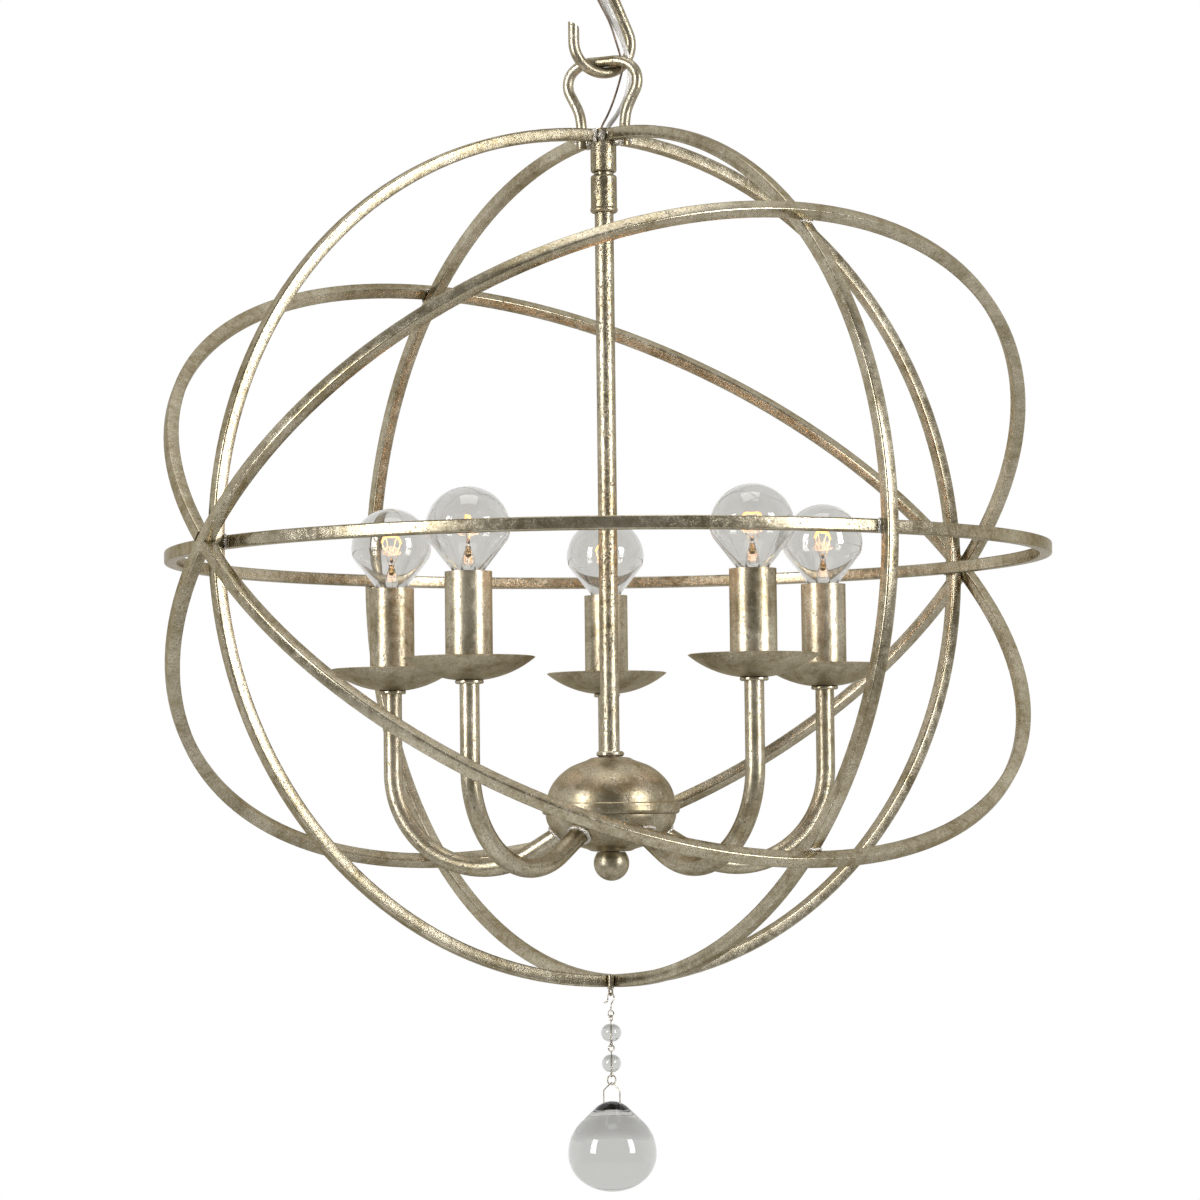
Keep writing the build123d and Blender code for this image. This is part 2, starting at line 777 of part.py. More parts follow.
def bulb_glass():
    """Clear globe on a conical neck, a thin shell closed at the foot."""
    slope = math.radians(bulb_cone_angle)
    across = (-math.cos(slope), math.sin(slope))
    # The shoulder arc meets the globe at its widest place and the cone at a tangent.
    reach = (bulb_radius - bulb_neck_radius) * across[0] + (bulb_centre - bulb_neck_top) * across[1]
    bend = reach / (1 + across[0])
    centre = bulb_radius - bend

    def face(inset):
        """Edges from the neck to the top, that far inside the outer face."""
        bow = bend - inset
        globe = bulb_radius - inset
        neck = bulb_neck_radius - inset
        half = globe * math.sqrt(0.5)
        touch = (centre - across[0] * bow, 0, bulb_centre - across[1] * bow)
        bowed = (centre + bow * math.cos(slope / 2), 0, bulb_centre - bow * math.sin(slope / 2))
        waist = (globe, 0, bulb_centre)
        corner = (neck, 0, touch[2] - (touch[0] - neck) / math.tan(slope))
        top = (0, 0, bulb_centre + globe)
        edges = Line(corner, touch)
        edges += ThreePointArc(touch, bowed, waist)
        edges += ThreePointArc(waist, (half, 0, bulb_centre + half), top)
        return edges, corner, top

    outer, outer_corner, outer_top = face(0)
    inner, inner_corner, inner_top = face(glass_wall)
    plug = base_diameter / 2 - base_wall - base_glue
    foot = bulb_neck_bottom - base_cup_depth
    floor = foot + bulb_foot_thickness
    below = [
        outer_corner,
        (bulb_neck_radius, 0, bulb_neck_bottom),
        (plug, 0, bulb_neck_bottom),
        (plug, 0, foot),
        (0, 0, foot),
        (0, 0, floor),
        (plug - glass_wall, 0, floor),
        (plug - glass_wall, 0, bulb_neck_bottom),
        inner_corner,
    ]
    edges = outer + inner + Line(outer_top, inner_top)
    for start, end in zip(below, below[1:]):
        edges += Line(start, end)
    return turned_outline(edges)


def bulb_base():
    """Screw shell with its insulated foot and centre contact."""
    radius = base_diameter / 2
    inside = radius - base_wall
    rim = bulb_neck_bottom - base_glue
    cup = rim - base_cup_depth
    cone_foot = base_shell_bottom - base_cone_height
    return turned([
        (0, cup),
        (inside, cup),
        (inside, rim),
        (radius, rim),
        (radius, base_shell_bottom),
        (radius - base_cone_inset, cone_foot),
        (contact_radius, cone_foot),
        (contact_radius, base_tip_bottom + 0.8),
        (contact_radius - 1.0, base_tip_bottom),
        (0, base_tip_bottom),
    ])


def connector(length, mouth):
    """Twist-on wire connector, its mouth at the origin and its body along +Z."""
    return turned([
        (0, 0),
        (mouth, 0),
        (mouth, length * 0.35),
        (mouth - 1.0, length - 1.0),
        (mouth - 2.0, length),
        (0, length),
    ])


# ---------------------------------------------------------------- chain and glass drop


def wire_ring(radius, wire, height, turn):
    """Ring of wire standing in the XZ plane, turned about Z."""
    return Pos(0, 0, height) * Rot(0, 0, turn) * Rot(90, 0, 0) * Torus(radius, wire / 2)


def drop_hook():
    """Wire hook through the eye, with a free curl and a closed loop below."""
    points = [(x, 0, hook_crown + z) for x, z in drop_hook_route]
    points.append((0, 0, hook_crown - hook_length + hook_loop_radius))
    body = swept_rod(FilletPolyline(*points, radius=drop_hook_bends), link_wire / 2)
    body += wire_ring(hook_loop_radius, link_wire, hook_crown - hook_length, 0)
    return drop_place * at_azimuth(body, chain_azimuth)


def bead_pin(top, top_loop, foot_loop, bead_height, top_turn, foot_turn):
    """Wire through a bead, with a loop at each end. top is the wire's highest centre line."""
    r = link_wire / 2
    upper = top - top_loop
    bead_top = top - 2 * top_loop - pin_neck
    lower = bead_top - bead_height - bead_seat - r - foot_loop
    body = rod(r, lower + foot_loop, top - 2 * top_loop)
    body += wire_ring(top_loop, link_wire, upper, top_turn)
    body += wire_ring(foot_loop, link_wire, lower, foot_turn)
    return drop_place * at_azimuth(body, chain_azimuth), bead_top, lower - foot_loop


def bead(diameter, height, top):
    """Oval glass bead, drilled through."""
    oval = scale(Sphere(diameter / 2), by=(1, 1, height / diameter + bead_flat))
    slab = Box(2 * diameter, 2 * diameter, height)
    ball = Pos(0, 0, top - height / 2) * (oval & slab)
    return drop_place * (ball - rod(bead_hole / 2, top - height - 2, top + 2))


def drop_bail(apex):
    """House-shaped wire whose legs stand in the glass."""
    w = bail_half_width
    leg = apex - bail_shoulder_drop - bail_leg_length
    shoulder = apex - bail_shoulder_drop
    points = [(-w, 0, leg), (-w, 0, shoulder), (0, 0, apex + bail_peak), (w, 0, shoulder), (w, 0, leg)]
    wire = FilletPolyline(*points, radius=[1.2, 1.6, 1.2])
    return drop_place * at_azimuth(swept_rod(wire, bail_wire / 2), bail_azimuth)


def glass_drop(apex, bail_apex):
    """Ball drop with a drawn-up top, drilled twice for the bail."""
    waist = apex - drop_waist

    def on_arc(radius, x, z, degrees):
        turn = math.radians(degrees)
        return x + radius * math.cos(turn), 0, z + radius * math.sin(turn)

    # Ball, cone and rounded top, each a tangent to the next.
    slope = math.sin(math.radians(drop_shoulder))
    cap = (drop_radius / slope - drop_waist) / (1 / slope - 1)
    shoulder = on_arc(drop_radius, 0, waist, drop_shoulder)
    shoulder_mid = on_arc(drop_radius, 0, waist, drop_shoulder / 2)
    cap_foot = on_arc(cap, 0, apex - cap, drop_shoulder)
    cap_mid = on_arc(cap, 0, apex - cap, (90 + drop_shoulder) / 2)
    # Tighter side and flatter bottom.
    side = drop_radius - drop_side_bend
    turn = on_arc(drop_side_bend, side, waist, -drop_side_turn)
    turn_mid = on_arc(drop_side_bend, side, waist, -drop_side_turn / 2)
    more = side / math.cos(math.radians(drop_side_turn))
    base = drop_side_bend + more
    centre = waist + more * math.sin(math.radians(drop_side_turn))
    base_mid = on_arc(base, 0, centre, -(90 + drop_side_turn) / 2)
    foot = (0, 0, centre - base)
    edges = ThreePointArc((0, 0, apex), cap_mid, cap_foot)
    edges += Line(cap_foot, shoulder)
    edges += ThreePointArc(shoulder, shoulder_mid, (drop_radius, 0, waist))
    edges += ThreePointArc((drop_radius, 0, waist), turn_mid, turn)
    edges += ThreePointArc(turn, base_mid, foot)
    body = turned_outline(edges + Line(foot, (0, 0, apex)))
    leg = bail_apex - bail_shoulder_drop - bail_leg_length
    hole = rod(bail_wire / 2 + bail_hole_clearance, leg - bail_hole_gap, apex + 1)
    for side in (-1, 1):
        body = body - at_azimuth(Pos(side * bail_half_width, 0, 0) * hole, bail_azimuth)
    return drop_place * body


# ---------------------------------------------------------------- wires


def route_radii(points):
    """Radius of each corner: as large as its two runs allow."""
    radii = []
    for a, b, c in zip(points, points[1:], points[2:]):
        first = Vector(*b) - Vector(*a)
        second = Vector(*c) - Vector(*b)
        turn = math.radians(first.get_angle(second))
        radii.append(0.45 * min(first.length, second.length) / math.tan(turn / 2))
    return radii


def wire_tube(name, points, diameter):
    """Round wire along its route; prints its bends and how full its volume is."""
    radii = route_radii(points)
    path = FilletPolyline(*points, radius=radii)
    body = swept_rod(path, diameter / 2)
    full = math.pi * diameter ** 2 / 4 * path.length
    print(name, "length %.1f" % path.length, "volume %.4f" % (body.volume / full), "radii",
          " ".join("%.1f" % r for r in radii))
    return body


# ---------------------------------------------------------------- the pieces, one file each


def build_cage():
    rings = cage_rings()
    collar = top_collar()
    loop = hanging_loop()
    names = ["equator_ring", "meridian_ring_1", "meridian_ring_2", "tilted_ring_1", "tilted_ring_2"]
    for name, shape in zip(names, rings):
        save(name, *shape.solids())
    save("top_collar", collar)
    save("hanging_loop", loop)
    save("hook", ceiling_hook())
    save("weld_beads", *cage_welds(rings, collar, loop))
    save("bottom_eyelet", bottom_eyelet())


def build_stem_and_hub():
    save("swivel_nipple", swivel_nipple())
    save("swivel_collar", swivel_collar())
    save("set_screw", set_screw())
    save("stem_tube", tube(stem_diameter / 2, stem_diameter / 2 - stem_wall, stem_foot, stem_top))
    save("hub_dome", hub_dome())
    hole = arm_rod(arm_diameter / 2 + arm_hole_clearance)
    save("hub_bowl", hub_bowl(at_arms(hole)))
    save("hub_nipple", hub_nipple())
    save("finial_ball", finial_ball())
    bowl_space = bowl_shape(bowl_radius + weld_skin, bowl_depth + weld_skin, belt_foot)
    weld = arm_weld(arm_rod(arm_diameter / 2 + weld_clearance), bowl_space)
    save("arm_welds", *at_arms(weld))


def build_candles():
    place = Pos(arm_circle, 0, 0)
    hole = threaded_radius + hole_clearance
    pieces = {
        "arm": arm(),
        "drip_pan": place * drip_pan(),
        "candle_sleeve": place * candle_sleeve(),
        "bulb_glass": place * bulb_glass(),
        "bulb_base": place * bulb_base(),
    }
    for name, shape in pieces.items():
        for k, azimuth in enumerate(arm_azimuths):
            save(f"{name}_{k + 1}", at_azimuth(shape, azimuth))
    washers = at_arms(place * seat_washer(hole, arm_top, pan_foot))
    save("seat_washers", *washers, seat_washer(hole, dome_top, stem_foot))
    nipple = tube(threaded_radius - arm_thread_play, wireway / 2, nipple_bottom, nipple_top)
    save("arm_nipples", *at_arms(place * nipple))
    top_nut = nut(nut_height, dome_top - hub_wall - nut_height - nut_gap)
    low_nut = nut(nut_height, bowl_foot + hub_wall + nut_gap)
    save("locknuts", *at_arms(place * nut(nut_height, pan_floor)), top_nut, low_nut)
    save("lamp_sockets", *at_arms(place * lamp_socket()))
    save("arm_wires", *at_arms(arm_rod(wire_diameter / 2, nipple_top + wire_top_gap, wire_tail)))


def build_drop():
    save("drop_hook", drop_hook())
    top = hook_crown - hook_length - hook_loop_radius + link_wire + link_gap
    pin, bead_top, foot = bead_pin(top, pin_1_top_loop, pin_1_foot_loop, bead_1_height, 90, 90)
    save("bead_1_pin", pin)
    save("bead_1", bead(bead_1_diameter, bead_1_height, bead_top))
    top = foot + link_wire + link_gap
    pin, bead_top, foot = bead_pin(top, pin_2_top_loop, pin_2_foot_loop, bead_2_height, 0, 90)
    save("bead_2_pin", pin)
    save("bead_2", bead(bead_2_diameter, bead_2_height, bead_top))
    ring_height = foot + link_wire + link_gap - jump_ring_radius
    save("jump_ring", drop_place * wire_ring(jump_ring_radius, link_wire, ring_height, chain_azimuth))
    bail_apex = ring_height - jump_ring_radius + (link_wire + bail_wire) / 2 + link_gap
    drop_apex = bail_apex - drop_apex_below_bail
    save("drop_bail", drop_bail(bail_apex))
    save("glass_drop", glass_drop(drop_apex, bail_apex))
    heights = {"eye": eye_foot, "pin_1": hook_crown - hook_length - hook_loop_radius, "ring": ring_height,
               "bail": bail_apex, "apex": drop_apex}
    print({name: round(value - mount_height, 2) for name, value in heights.items()})


def connector_at(tip, way, length, mouth):
    return Plane(origin=tip, z_dir=way) * connector(length, mouth)


def build_wires():
    mouth = collar_top - cord_mouth_depth
    lead_end = (lead_end_radius, 0, lead_turn_height - lead_tail_fall)
    lead = [*lead_route, (lead_offset, 0, mouth), (lead_offset, 0, lead_turn_height), lead_end]
    ground_end = (-ground_end_radius, 0, ground_turn_height - ground_tail_fall)
    ground = [*ground_route, (ground_offset, 0, mouth), (ground_offset, 0, ground_turn_height), ground_end]
    save("lead_cord", wire_tube("lead", lead, lead_diameter))
    save("ground_wire", wire_tube("ground", ground, ground_diameter))
    ends = []
    for route, size in ((lead, lead_connector_mouth), (ground, ground_connector_mouth)):
        way = Vector(*route[-1]) - Vector(*route[-2])
        ends.append(connector_at(route[-1], way, cord_connector_length, size))
    tip = past_arm_end(wire_tail)
    way = Vector(*tip) - Vector(*past_arm_end(0))
    arm_end = connector_at(tip, way, arm_connector_length, arm_connector_mouth)
    save("wire_connectors", *ends, *at_arms(arm_end))


os.makedirs("parts", exist_ok=True)
build_cage()
build_stem_and_hub()
build_candles()
build_drop()
build_wires()
print("mount height above the middle of the orb: %.2f" % mount_height)
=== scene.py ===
import json
import math

import bmesh
import bpy
from mathutils import Matrix, Vector


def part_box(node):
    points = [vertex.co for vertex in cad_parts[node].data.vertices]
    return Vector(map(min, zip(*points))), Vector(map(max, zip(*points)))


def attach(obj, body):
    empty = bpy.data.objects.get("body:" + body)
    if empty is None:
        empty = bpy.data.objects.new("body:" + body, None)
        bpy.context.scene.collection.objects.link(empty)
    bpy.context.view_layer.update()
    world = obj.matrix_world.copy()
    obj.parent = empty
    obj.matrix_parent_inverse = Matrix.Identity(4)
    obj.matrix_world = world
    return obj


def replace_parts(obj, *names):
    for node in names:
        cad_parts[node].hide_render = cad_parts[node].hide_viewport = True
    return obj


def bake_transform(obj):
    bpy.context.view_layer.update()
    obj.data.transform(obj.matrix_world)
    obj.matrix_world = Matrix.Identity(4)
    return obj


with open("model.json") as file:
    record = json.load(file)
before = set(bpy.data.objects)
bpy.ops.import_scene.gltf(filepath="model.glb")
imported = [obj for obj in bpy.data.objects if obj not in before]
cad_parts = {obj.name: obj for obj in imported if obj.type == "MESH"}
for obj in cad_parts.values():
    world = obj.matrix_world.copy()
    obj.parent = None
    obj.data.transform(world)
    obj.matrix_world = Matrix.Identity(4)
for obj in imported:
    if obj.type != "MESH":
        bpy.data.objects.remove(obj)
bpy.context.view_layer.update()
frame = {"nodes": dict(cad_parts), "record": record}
nodes = frame["nodes"]
scene = bpy.context.scene
mm = 0.001

# the middle of the orb, which the rings are laid out about
orbCentre = Vector((0, 0, sum(corner.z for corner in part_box("equator_ring")) / 2))

cameraSet = {
    "place": (0.0, -2.5727, -0.5665),
    "yaw": -0.12,
    "pitch": 3.31,
    "roll": -0.65,
    "focalPixels": 4075.0,      # for a picture 1200 pixels wide
    "pictureWidth": 1200.0,
    "sensor": 36.0,
    "clipStart": 0.05,
}


def addCamera(s):
    yaw, pitch, roll = (math.radians(s[key]) for key in ("yaw", "pitch", "roll"))
    ahead = Vector((math.sin(yaw), math.cos(yaw), 0))
    right = Vector((math.cos(yaw), -math.sin(yaw), 0))
    up = Vector((0, 0, 1))
    look = math.cos(pitch) * ahead + math.sin(pitch) * up
    top = math.cos(pitch) * up - math.sin(pitch) * ahead
    across = math.cos(roll) * right + math.sin(roll) * top
    upright = math.cos(roll) * top - math.sin(roll) * right
    data = bpy.data.cameras.new("camera")
    data.sensor_width = s["sensor"]
    data.lens = s["focalPixels"] * s["sensor"] / s["pictureWidth"]
    data.clip_start = s["clipStart"]
    camera = bpy.data.objects.new("camera", data)
    scene.collection.objects.link(camera)
    turn = Matrix((across, upright, -look)).transposed().to_4x4()
    camera.matrix_world = Matrix.Translation(s["place"]) @ turn
    scene.camera = camera


addCamera(cameraSet)
print("camera stands where the photograph was taken")


class Value:
    # a node's output, so that maths between nodes reads as a plain expression
    def __init__(self, tree, socket):
        self.tree = tree
        self.socket = socket

    def maths(self, operation, first, second):
        return NodeTree(self.tree).node("ShaderNodeMath", {"operation": operation}, {0: first, 1: second})

    def __add__(self, other):
        return self.maths("ADD", self, other)

    def __radd__(self, other):
        return self.maths("ADD", other, self)

    def __sub__(self, other):
        return self.maths("SUBTRACT", self, other)

    def __rsub__(self, other):
        return self.maths("SUBTRACT", other, self)

    def __mul__(self, other):
        return self.maths("MULTIPLY", self, other)


class NodeTree:
    def __init__(self, tree):
        self.tree = tree

    def node(self, kind, settings=None, inputs=None, out=0):
        made = self.tree.nodes.new(kind)
        for key, value in (settings or {}).items():
            if key == "stops":
                self.setStops(made.color_ramp, value)
            else:
                setattr(made, key, value)
        for key, value in (inputs or {}).items():
            if isinstance(value, Value):
                self.tree.links.new(value.socket, made.inputs[key])
            else:
                made.inputs[key].default_value = value
        return Value(self.tree, made.outputs[out]) if made.outputs else None

    def setStops(self, ramp, stops):
        while len(ramp.elements) < len(stops):
            ramp.elements.new(0.5)
        for element, (place, level) in zip(ramp.elements, stops):
            element.position = place
            element.color = (level, level, level, 1) if isinstance(level, (int, float)) else (*level, 1)


class Finish(NodeTree):
    # one material and its nodes
    def __init__(self, name):
        self.material = bpy.data.materials.new(name)
        self.material.use_nodes = True
        super().__init__(self.material.node_tree)
        self.tree.nodes.clear()

    def objectPlace(self):
        return self.node("ShaderNodeTexCoord", out="Object")

    def noise(self, place, scale, detail=3.0, rough=0.5, distortion=0.0):
        return self.node("ShaderNodeTexNoise", None, {
            "Vector": place, "Scale": scale, "Detail": detail, "Roughness": rough, "Distortion": distortion})

    def ramp(self, factor, *stops):
        return self.node("ShaderNodeValToRGB", {"stops": stops}, {"Fac": factor})

    def mix(self, factor, first, second):
        # the Mix node's colours are its inputs 6 and 7, and the mixed colour is its output 2
        pick = [(*c, 1) if isinstance(c, tuple) else c for c in (first, second)]
        return self.node("ShaderNodeMix", {"data_type": "RGBA"}, {0: factor, 6: pick[0], 7: pick[1]}, out=2)

    def bump(self, height, strength, distance, under=None):
        inputs = {"Height": height, "Strength": strength, "Distance": distance}
        if under is not None:
            inputs["Normal"] = under
        return self.node("ShaderNodeBump", None, inputs)

    def surface(self, **inputs):
        named = {key.replace("_", " "): value for key, value in inputs.items()}
        for key, value in named.items():
            if isinstance(value, tuple) and len(value) == 3:
                named[key] = (*value, 1)
        return self.node("ShaderNodeBsdfPrincipled", None, named, out="BSDF")

    def done(self, shader):
        self.node("ShaderNodeOutputMaterial", None, {"Surface": shader})
        return self.material


leafColours = {
    "pale": (0.585, 0.53, 0.405),
    "olive": (0.255, 0.212, 0.130),
    "rubbed": (0.79, 0.76, 0.675),
    "umber": (0.028, 0.020, 0.011),
    "edge": (0.50, 0.46, 0.38),
}


def silverLeaf(name, wear, crush, dull=0.0):
    # crumpled leaf under a brown wash: cloudy olive tone, rubbed flecks, dark pits
    f = Finish(name)
    place = f.objectPlace()
    cloud = f.noise(place, 17.0, 5.0, 0.6, 0.5)
    patch = f.noise(place, 130.0, 6.0, 0.68, 0.4)
    crumple = f.noise(place, 620.0, 4.0, 0.68)
    pits = f.noise(place, 1150.0, 4.0, 0.7)
    tone = f.ramp(cloud * 0.45 + patch * 0.55, (0.40, 0.0), (0.64, 1.0))
    colour = f.mix(tone, leafColours["olive"], leafColours["pale"])
    rubbed = f.ramp(crumple, (0.57, 0.0), (0.70, 1.0)) * 0.5
    colour = f.mix(rubbed, colour, leafColours["rubbed"])
    speck = f.ramp(pits * 0.60 + patch * 0.40, (0.545, 0.0), (0.60, 1.0)) * (0.85 * wear)
    wash = f.ramp(crumple, (0.32, 1.0), (0.43, 0.0)) * (0.6 * wear)
    dark = f.node("ShaderNodeMath", {"operation": "MAXIMUM"}, {0: speck, 1: wash})
    colour = f.mix(dark, colour, leafColours["umber"])
    wavy = f.bump(patch, crush * 0.8, 0.0010)
    fine = f.bump(crumple, crush, 0.0005, wavy)
    sunk = f.bump(1 - dark, 0.35, 0.00015, fine)
    return f.done(f.surface(
        Base_Color=colour, Metallic=1 - dark * 0.6, Roughness=(0.17 + dull) + patch * 0.14 + dark * 0.3,
        Specular_Tint=leafColours["edge"], Normal=sunk))


def weldMetal():
    f = Finish("weldMetal")
    place = f.objectPlace()
    lumps = f.noise(place, 420.0, 5.0, 0.65)
    soot = f.ramp(f.noise(place, 300.0, 4.0, 0.7), (0.56, 0.0), (0.68, 1.0))
    colour = f.mix(soot, (0.54, 0.51, 0.455), (0.07, 0.058, 0.042))
    relief = f.bump(lumps, 0.9, 0.0012)
    return f.done(f.surface(
        Base_Color=colour, Metallic=1 - soot * 0.6, Roughness=0.24 + soot * 0.4, Normal=relief))


def clearGlass(name, paintedShadeTint, seeds=0.0):
    # polished glass with a barely wavy face, and seeds where it is moulded; the grey in its colour is painted
    # shade, standing for the dimmer surroundings seen through the clear glass
    f = Finish(name)
    place = f.objectPlace()
    waves = f.noise(place, 22.0, 2.0, 0.5)
    film = f.noise(place, 90.0, 4.0, 0.6)
    face = f.bump(waves, 0.05 + seeds, 0.0008)
    return f.done(f.surface(
        Base_Color=f.mix(film, paintedShadeTint, tuple(min(1.0, c * 1.02) for c in paintedShadeTint)), Roughness=film * 0.02,
        Transmission_Weight=1.0, IOR=1.46, Normal=face))


def wornBrass():
    f = Finish("wornBrass")
    place = f.objectPlace()
    film = f.noise(place, 160.0, 5.0, 0.6)
    colour = f.mix(f.ramp(film, (0.40, 0.0), (0.66, 1.0)), (0.74, 0.55, 0.27), (0.40, 0.27, 0.12))
    # the screw's turns, rolled into the shell along its height
    turns = f.node("ShaderNodeTexWave", {"bands_direction": "Z", "wave_profile": "SIN"},
                   {"Vector": place, "Scale": 140.0, "Distortion": 0.0})
    return f.done(f.surface(Base_Color=colour, Metallic=1.0, Roughness=0.22 + film * 0.2,
                            Normal=f.bump(turns, 0.8, 0.0004)))


filmedSet = {
    "platedWire": {
        "noise": (700.0, 3.0, 0.6), "film": (0.44, 0.62), "bare": (0.60, 0.56, 0.47),
        "dulled": (0.20, 0.17, 0.12), "metallic": 1.0, "rough": (0.2, 0.15), "bump": (0.15, 0.0001)},
    "zincSteel": {
        "noise": (210.0, 5.0, 0.65), "film": (0.38, 0.64), "bare": (0.58, 0.57, 0.54),
        "dulled": (0.36, 0.35, 0.32), "metallic": 1.0, "rough": (0.3, 0.2), "bump": (0.2, 0.0002)},
    "darkCopper": {
        "noise": (240.0, 4.0, 0.6), "film": (0.42, 0.66), "bare": (0.13, 0.10, 0.075),
        "dulled": (0.26, 0.19, 0.135), "metallic": 0.9, "rough": (0.36, 0.2), "bump": (0.2, 0.0001)},
}


def filmedMetal(name):
    # metal with an uneven film that changes its colour and roughens it
    s = filmedSet[name]
    f = Finish(name)
    film = f.noise(f.objectPlace(), *s["noise"])
    first, last = s["film"]
    rough, spread = s["rough"]
    colour = f.mix(f.ramp(film, (first, 0.0), (last, 1.0)), s["bare"], s["dulled"])
    return f.done(f.surface(Base_Color=colour, Metallic=s["metallic"], Roughness=rough + film * spread,
                            Normal=f.bump(film, *s["bump"])))


def moulded(name, base, dust, rough):
    f = Finish(name)
    place = f.objectPlace()
    grain = f.noise(place, 900.0, 3.0, 0.6)
    film = f.noise(place, 70.0, 5.0, 0.6)
    colour = f.mix(f.ramp(film, (0.45, 0.0), (0.75, 1.0)), base, dust)
    return f.done(f.surface(
        Base_Color=colour, Roughness=rough + grain * 0.18, Normal=f.bump(grain, 0.12, 0.0001)))


def clearInsulation():
    # clear skin over tinned strands: bright and dark streaks run along the cord
    f = Finish("clearInsulation")
    across = f.node("ShaderNodeUVMap", {"uv_map": "run"})
    stretch = f.node("ShaderNodeMapping", None, {"Vector": across, "Scale": (26.0, 14.0, 1.0)})
    strands = f.noise(stretch, 3.0, 3.0, 0.6)
    lay = f.node("ShaderNodeTexWave", {"bands_direction": "DIAGONAL", "wave_profile": "SIN"},
                 {"Vector": stretch, "Scale": 1.4, "Distortion": 2.0, "Detail": 2.0})
    tone = f.ramp(strands * 0.7 + lay * 0.3, (0.36, 0.0), (0.52, 0.55), (0.66, 1.0))
    colour = f.mix(tone, (0.30, 0.285, 0.25), (0.80, 0.78, 0.74))
    return f.done(f.surface(Base_Color=colour, Metallic=tone * 0.55, Roughness=0.24 + strands * 0.2,
                            Coat_Weight=0.6, Coat_Roughness=0.08, Normal=f.bump(lay, 0.25, 0.0003)))


def hotFilament():
    f = Finish("hotFilament")
    uneven = f.noise(f.objectPlace(), 300.0, 3.0, 0.6)
    colour = f.mix(f.ramp(uneven, (0.35, 0.0), (0.65, 1.0)), (1.0, 0.56, 0.22), (1.0, 0.38, 0.10))
    return f.done(f.surface(Base_Color=(0.2, 0.12, 0.06), Roughness=0.5, Emission_Color=colour,
                            Emission_Strength=2.6))


finishes = {
    "leaf": silverLeaf("silverLeaf", wear=0.8, crush=0.045),
    "leafWorn": silverLeaf("silverLeafWorn", wear=1.25, crush=0.42),
    "leafTube": silverLeaf("silverLeafTube", wear=1.0, crush=0.13, dull=0.06),
    "leafPan": silverLeaf("silverLeafPan", wear=0.8, crush=0.10, dull=0.16),
    "leafHub": silverLeaf("silverLeafHub", wear=1.0, crush=0.08, dull=0.11),
    "weld": weldMetal(),
    # the grey of these glass colours is painted shade for the surroundings seen through clear glass
    "bulbGlass": clearGlass("bulbGlass", (0.745, 0.74, 0.72)),
    "flareGlass": clearGlass("flareGlass", (0.93, 0.93, 0.92)),
    "dropGlass": clearGlass("dropGlass", (0.545, 0.543, 0.522), 0.015),
    "beadGlass": clearGlass("beadGlass", (0.60, 0.598, 0.58), 0.03),
    "brass": wornBrass(),
    "wire": filmedMetal("platedWire"),
    "zinc": filmedMetal("zincSteel"),
    "socket": moulded("socketMoulding", (0.035, 0.034, 0.032), (0.10, 0.095, 0.085), 0.42),
    "sleeving": moulded("wireSleeving", (0.025, 0.025, 0.026), (0.08, 0.078, 0.072), 0.34),
    "connector": moulded("connectorMoulding", (0.72, 0.22, 0.03), (0.55, 0.25, 0.10), 0.36),
    "insulation": clearInsulation(),
    "copper": filmedMetal("darkCopper"),
    "filament": hotFilament(),
}
slotFinish = {
    "silver_leaf": "leaf",
    "weld_metal": "weld",
    "clear_glass": "bulbGlass",
    "brass": "brass",
    "silver_wire": "wire",
    "zinc_steel": "zinc",
    "socket_moulding": "socket",
    "clear_cord": "insulation",
    "bare_copper": "copper",
    "wire_sleeving": "sleeving",
    "connector_moulding": "connector",
}
nodeFinish = {
    "stem_tube": "leafWorn",
    "top_collar": "leafWorn",
    "swivel_collar": "leafWorn",
    "set_screw": "leaf",
    "seat_washers": "leaf",
    **{f"{kind}_{k}": "leafTube" for kind in ("arm", "candle_sleeve") for k in range(1, 6)},
    **{f"drip_pan_{k}": "leafPan" for k in range(1, 6)},
    "hub_dome": "leafHub",
    "hub_bowl": "leafHub",
    "finial_ball": "leafHub",
    "glass_drop": "dropGlass",
    "bead_1": "beadGlass",
    "bead_2": "beadGlass",
}


def finishCadNodes():
    slots = {part["node"]: part["material_slot"] for part in frame["record"]["subparts"]}
    for name, item in nodes.items():
        chosen = finishes[nodeFinish.get(name, slotFinish[slots[name]])]
        item.data.materials.clear()
        item.data.materials.append(chosen)


finishCadNodes()
print("finishes are on", len(nodes), "CAD nodes")


class Shaper(NodeTree):
    # a geometry node tree with named inputs, which it applies to one object at a time
    def __init__(self, name, inputs):
        super().__init__(bpy.data.node_groups.new(name, "GeometryNodeTree"))
        face = self.tree.interface
        face.new_socket("Geometry", in_out="INPUT", socket_type="NodeSocketGeometry")
        for label, kind in inputs.items():
            face.new_socket(label, in_out="INPUT", socket_type=kind)
        face.new_socket("Geometry", in_out="OUTPUT", socket_type="NodeSocketGeometry")
        self.given = self.tree.nodes.new("NodeGroupInput")

    def asked(self, label):
        return Value(self.tree, self.given.outputs[label])

    def end(self, geometry, finish):
        real = self.node("GeometryNodeRealizeInstances", None, {"Geometry": geometry})
        coloured = self.node("GeometryNodeSetMaterial", None, {"Geometry": real, "Material": finish})
        self.node("NodeGroupOutput", None, {0: coloured})

    def apply(self, item, name, **values):
        # gives a plain mesh object, and takes the one it was made from away
        modifier = item.modifiers.new(name, "NODES")
        modifier.node_group = self.tree
        for socket in self.tree.interface.items_tree:
            key = socket.name.replace(" ", "_")
            if socket.in_out == "INPUT" and key in values:
                modifier[socket.identifier] = values[key]
        seen = item.evaluated_get(bpy.context.evaluated_depsgraph_get())
        mesh = bpy.data.meshes.new_from_object(seen)
        mesh.name = name
        bpy.data.objects.remove(item)
        return meshObject(name, mesh)


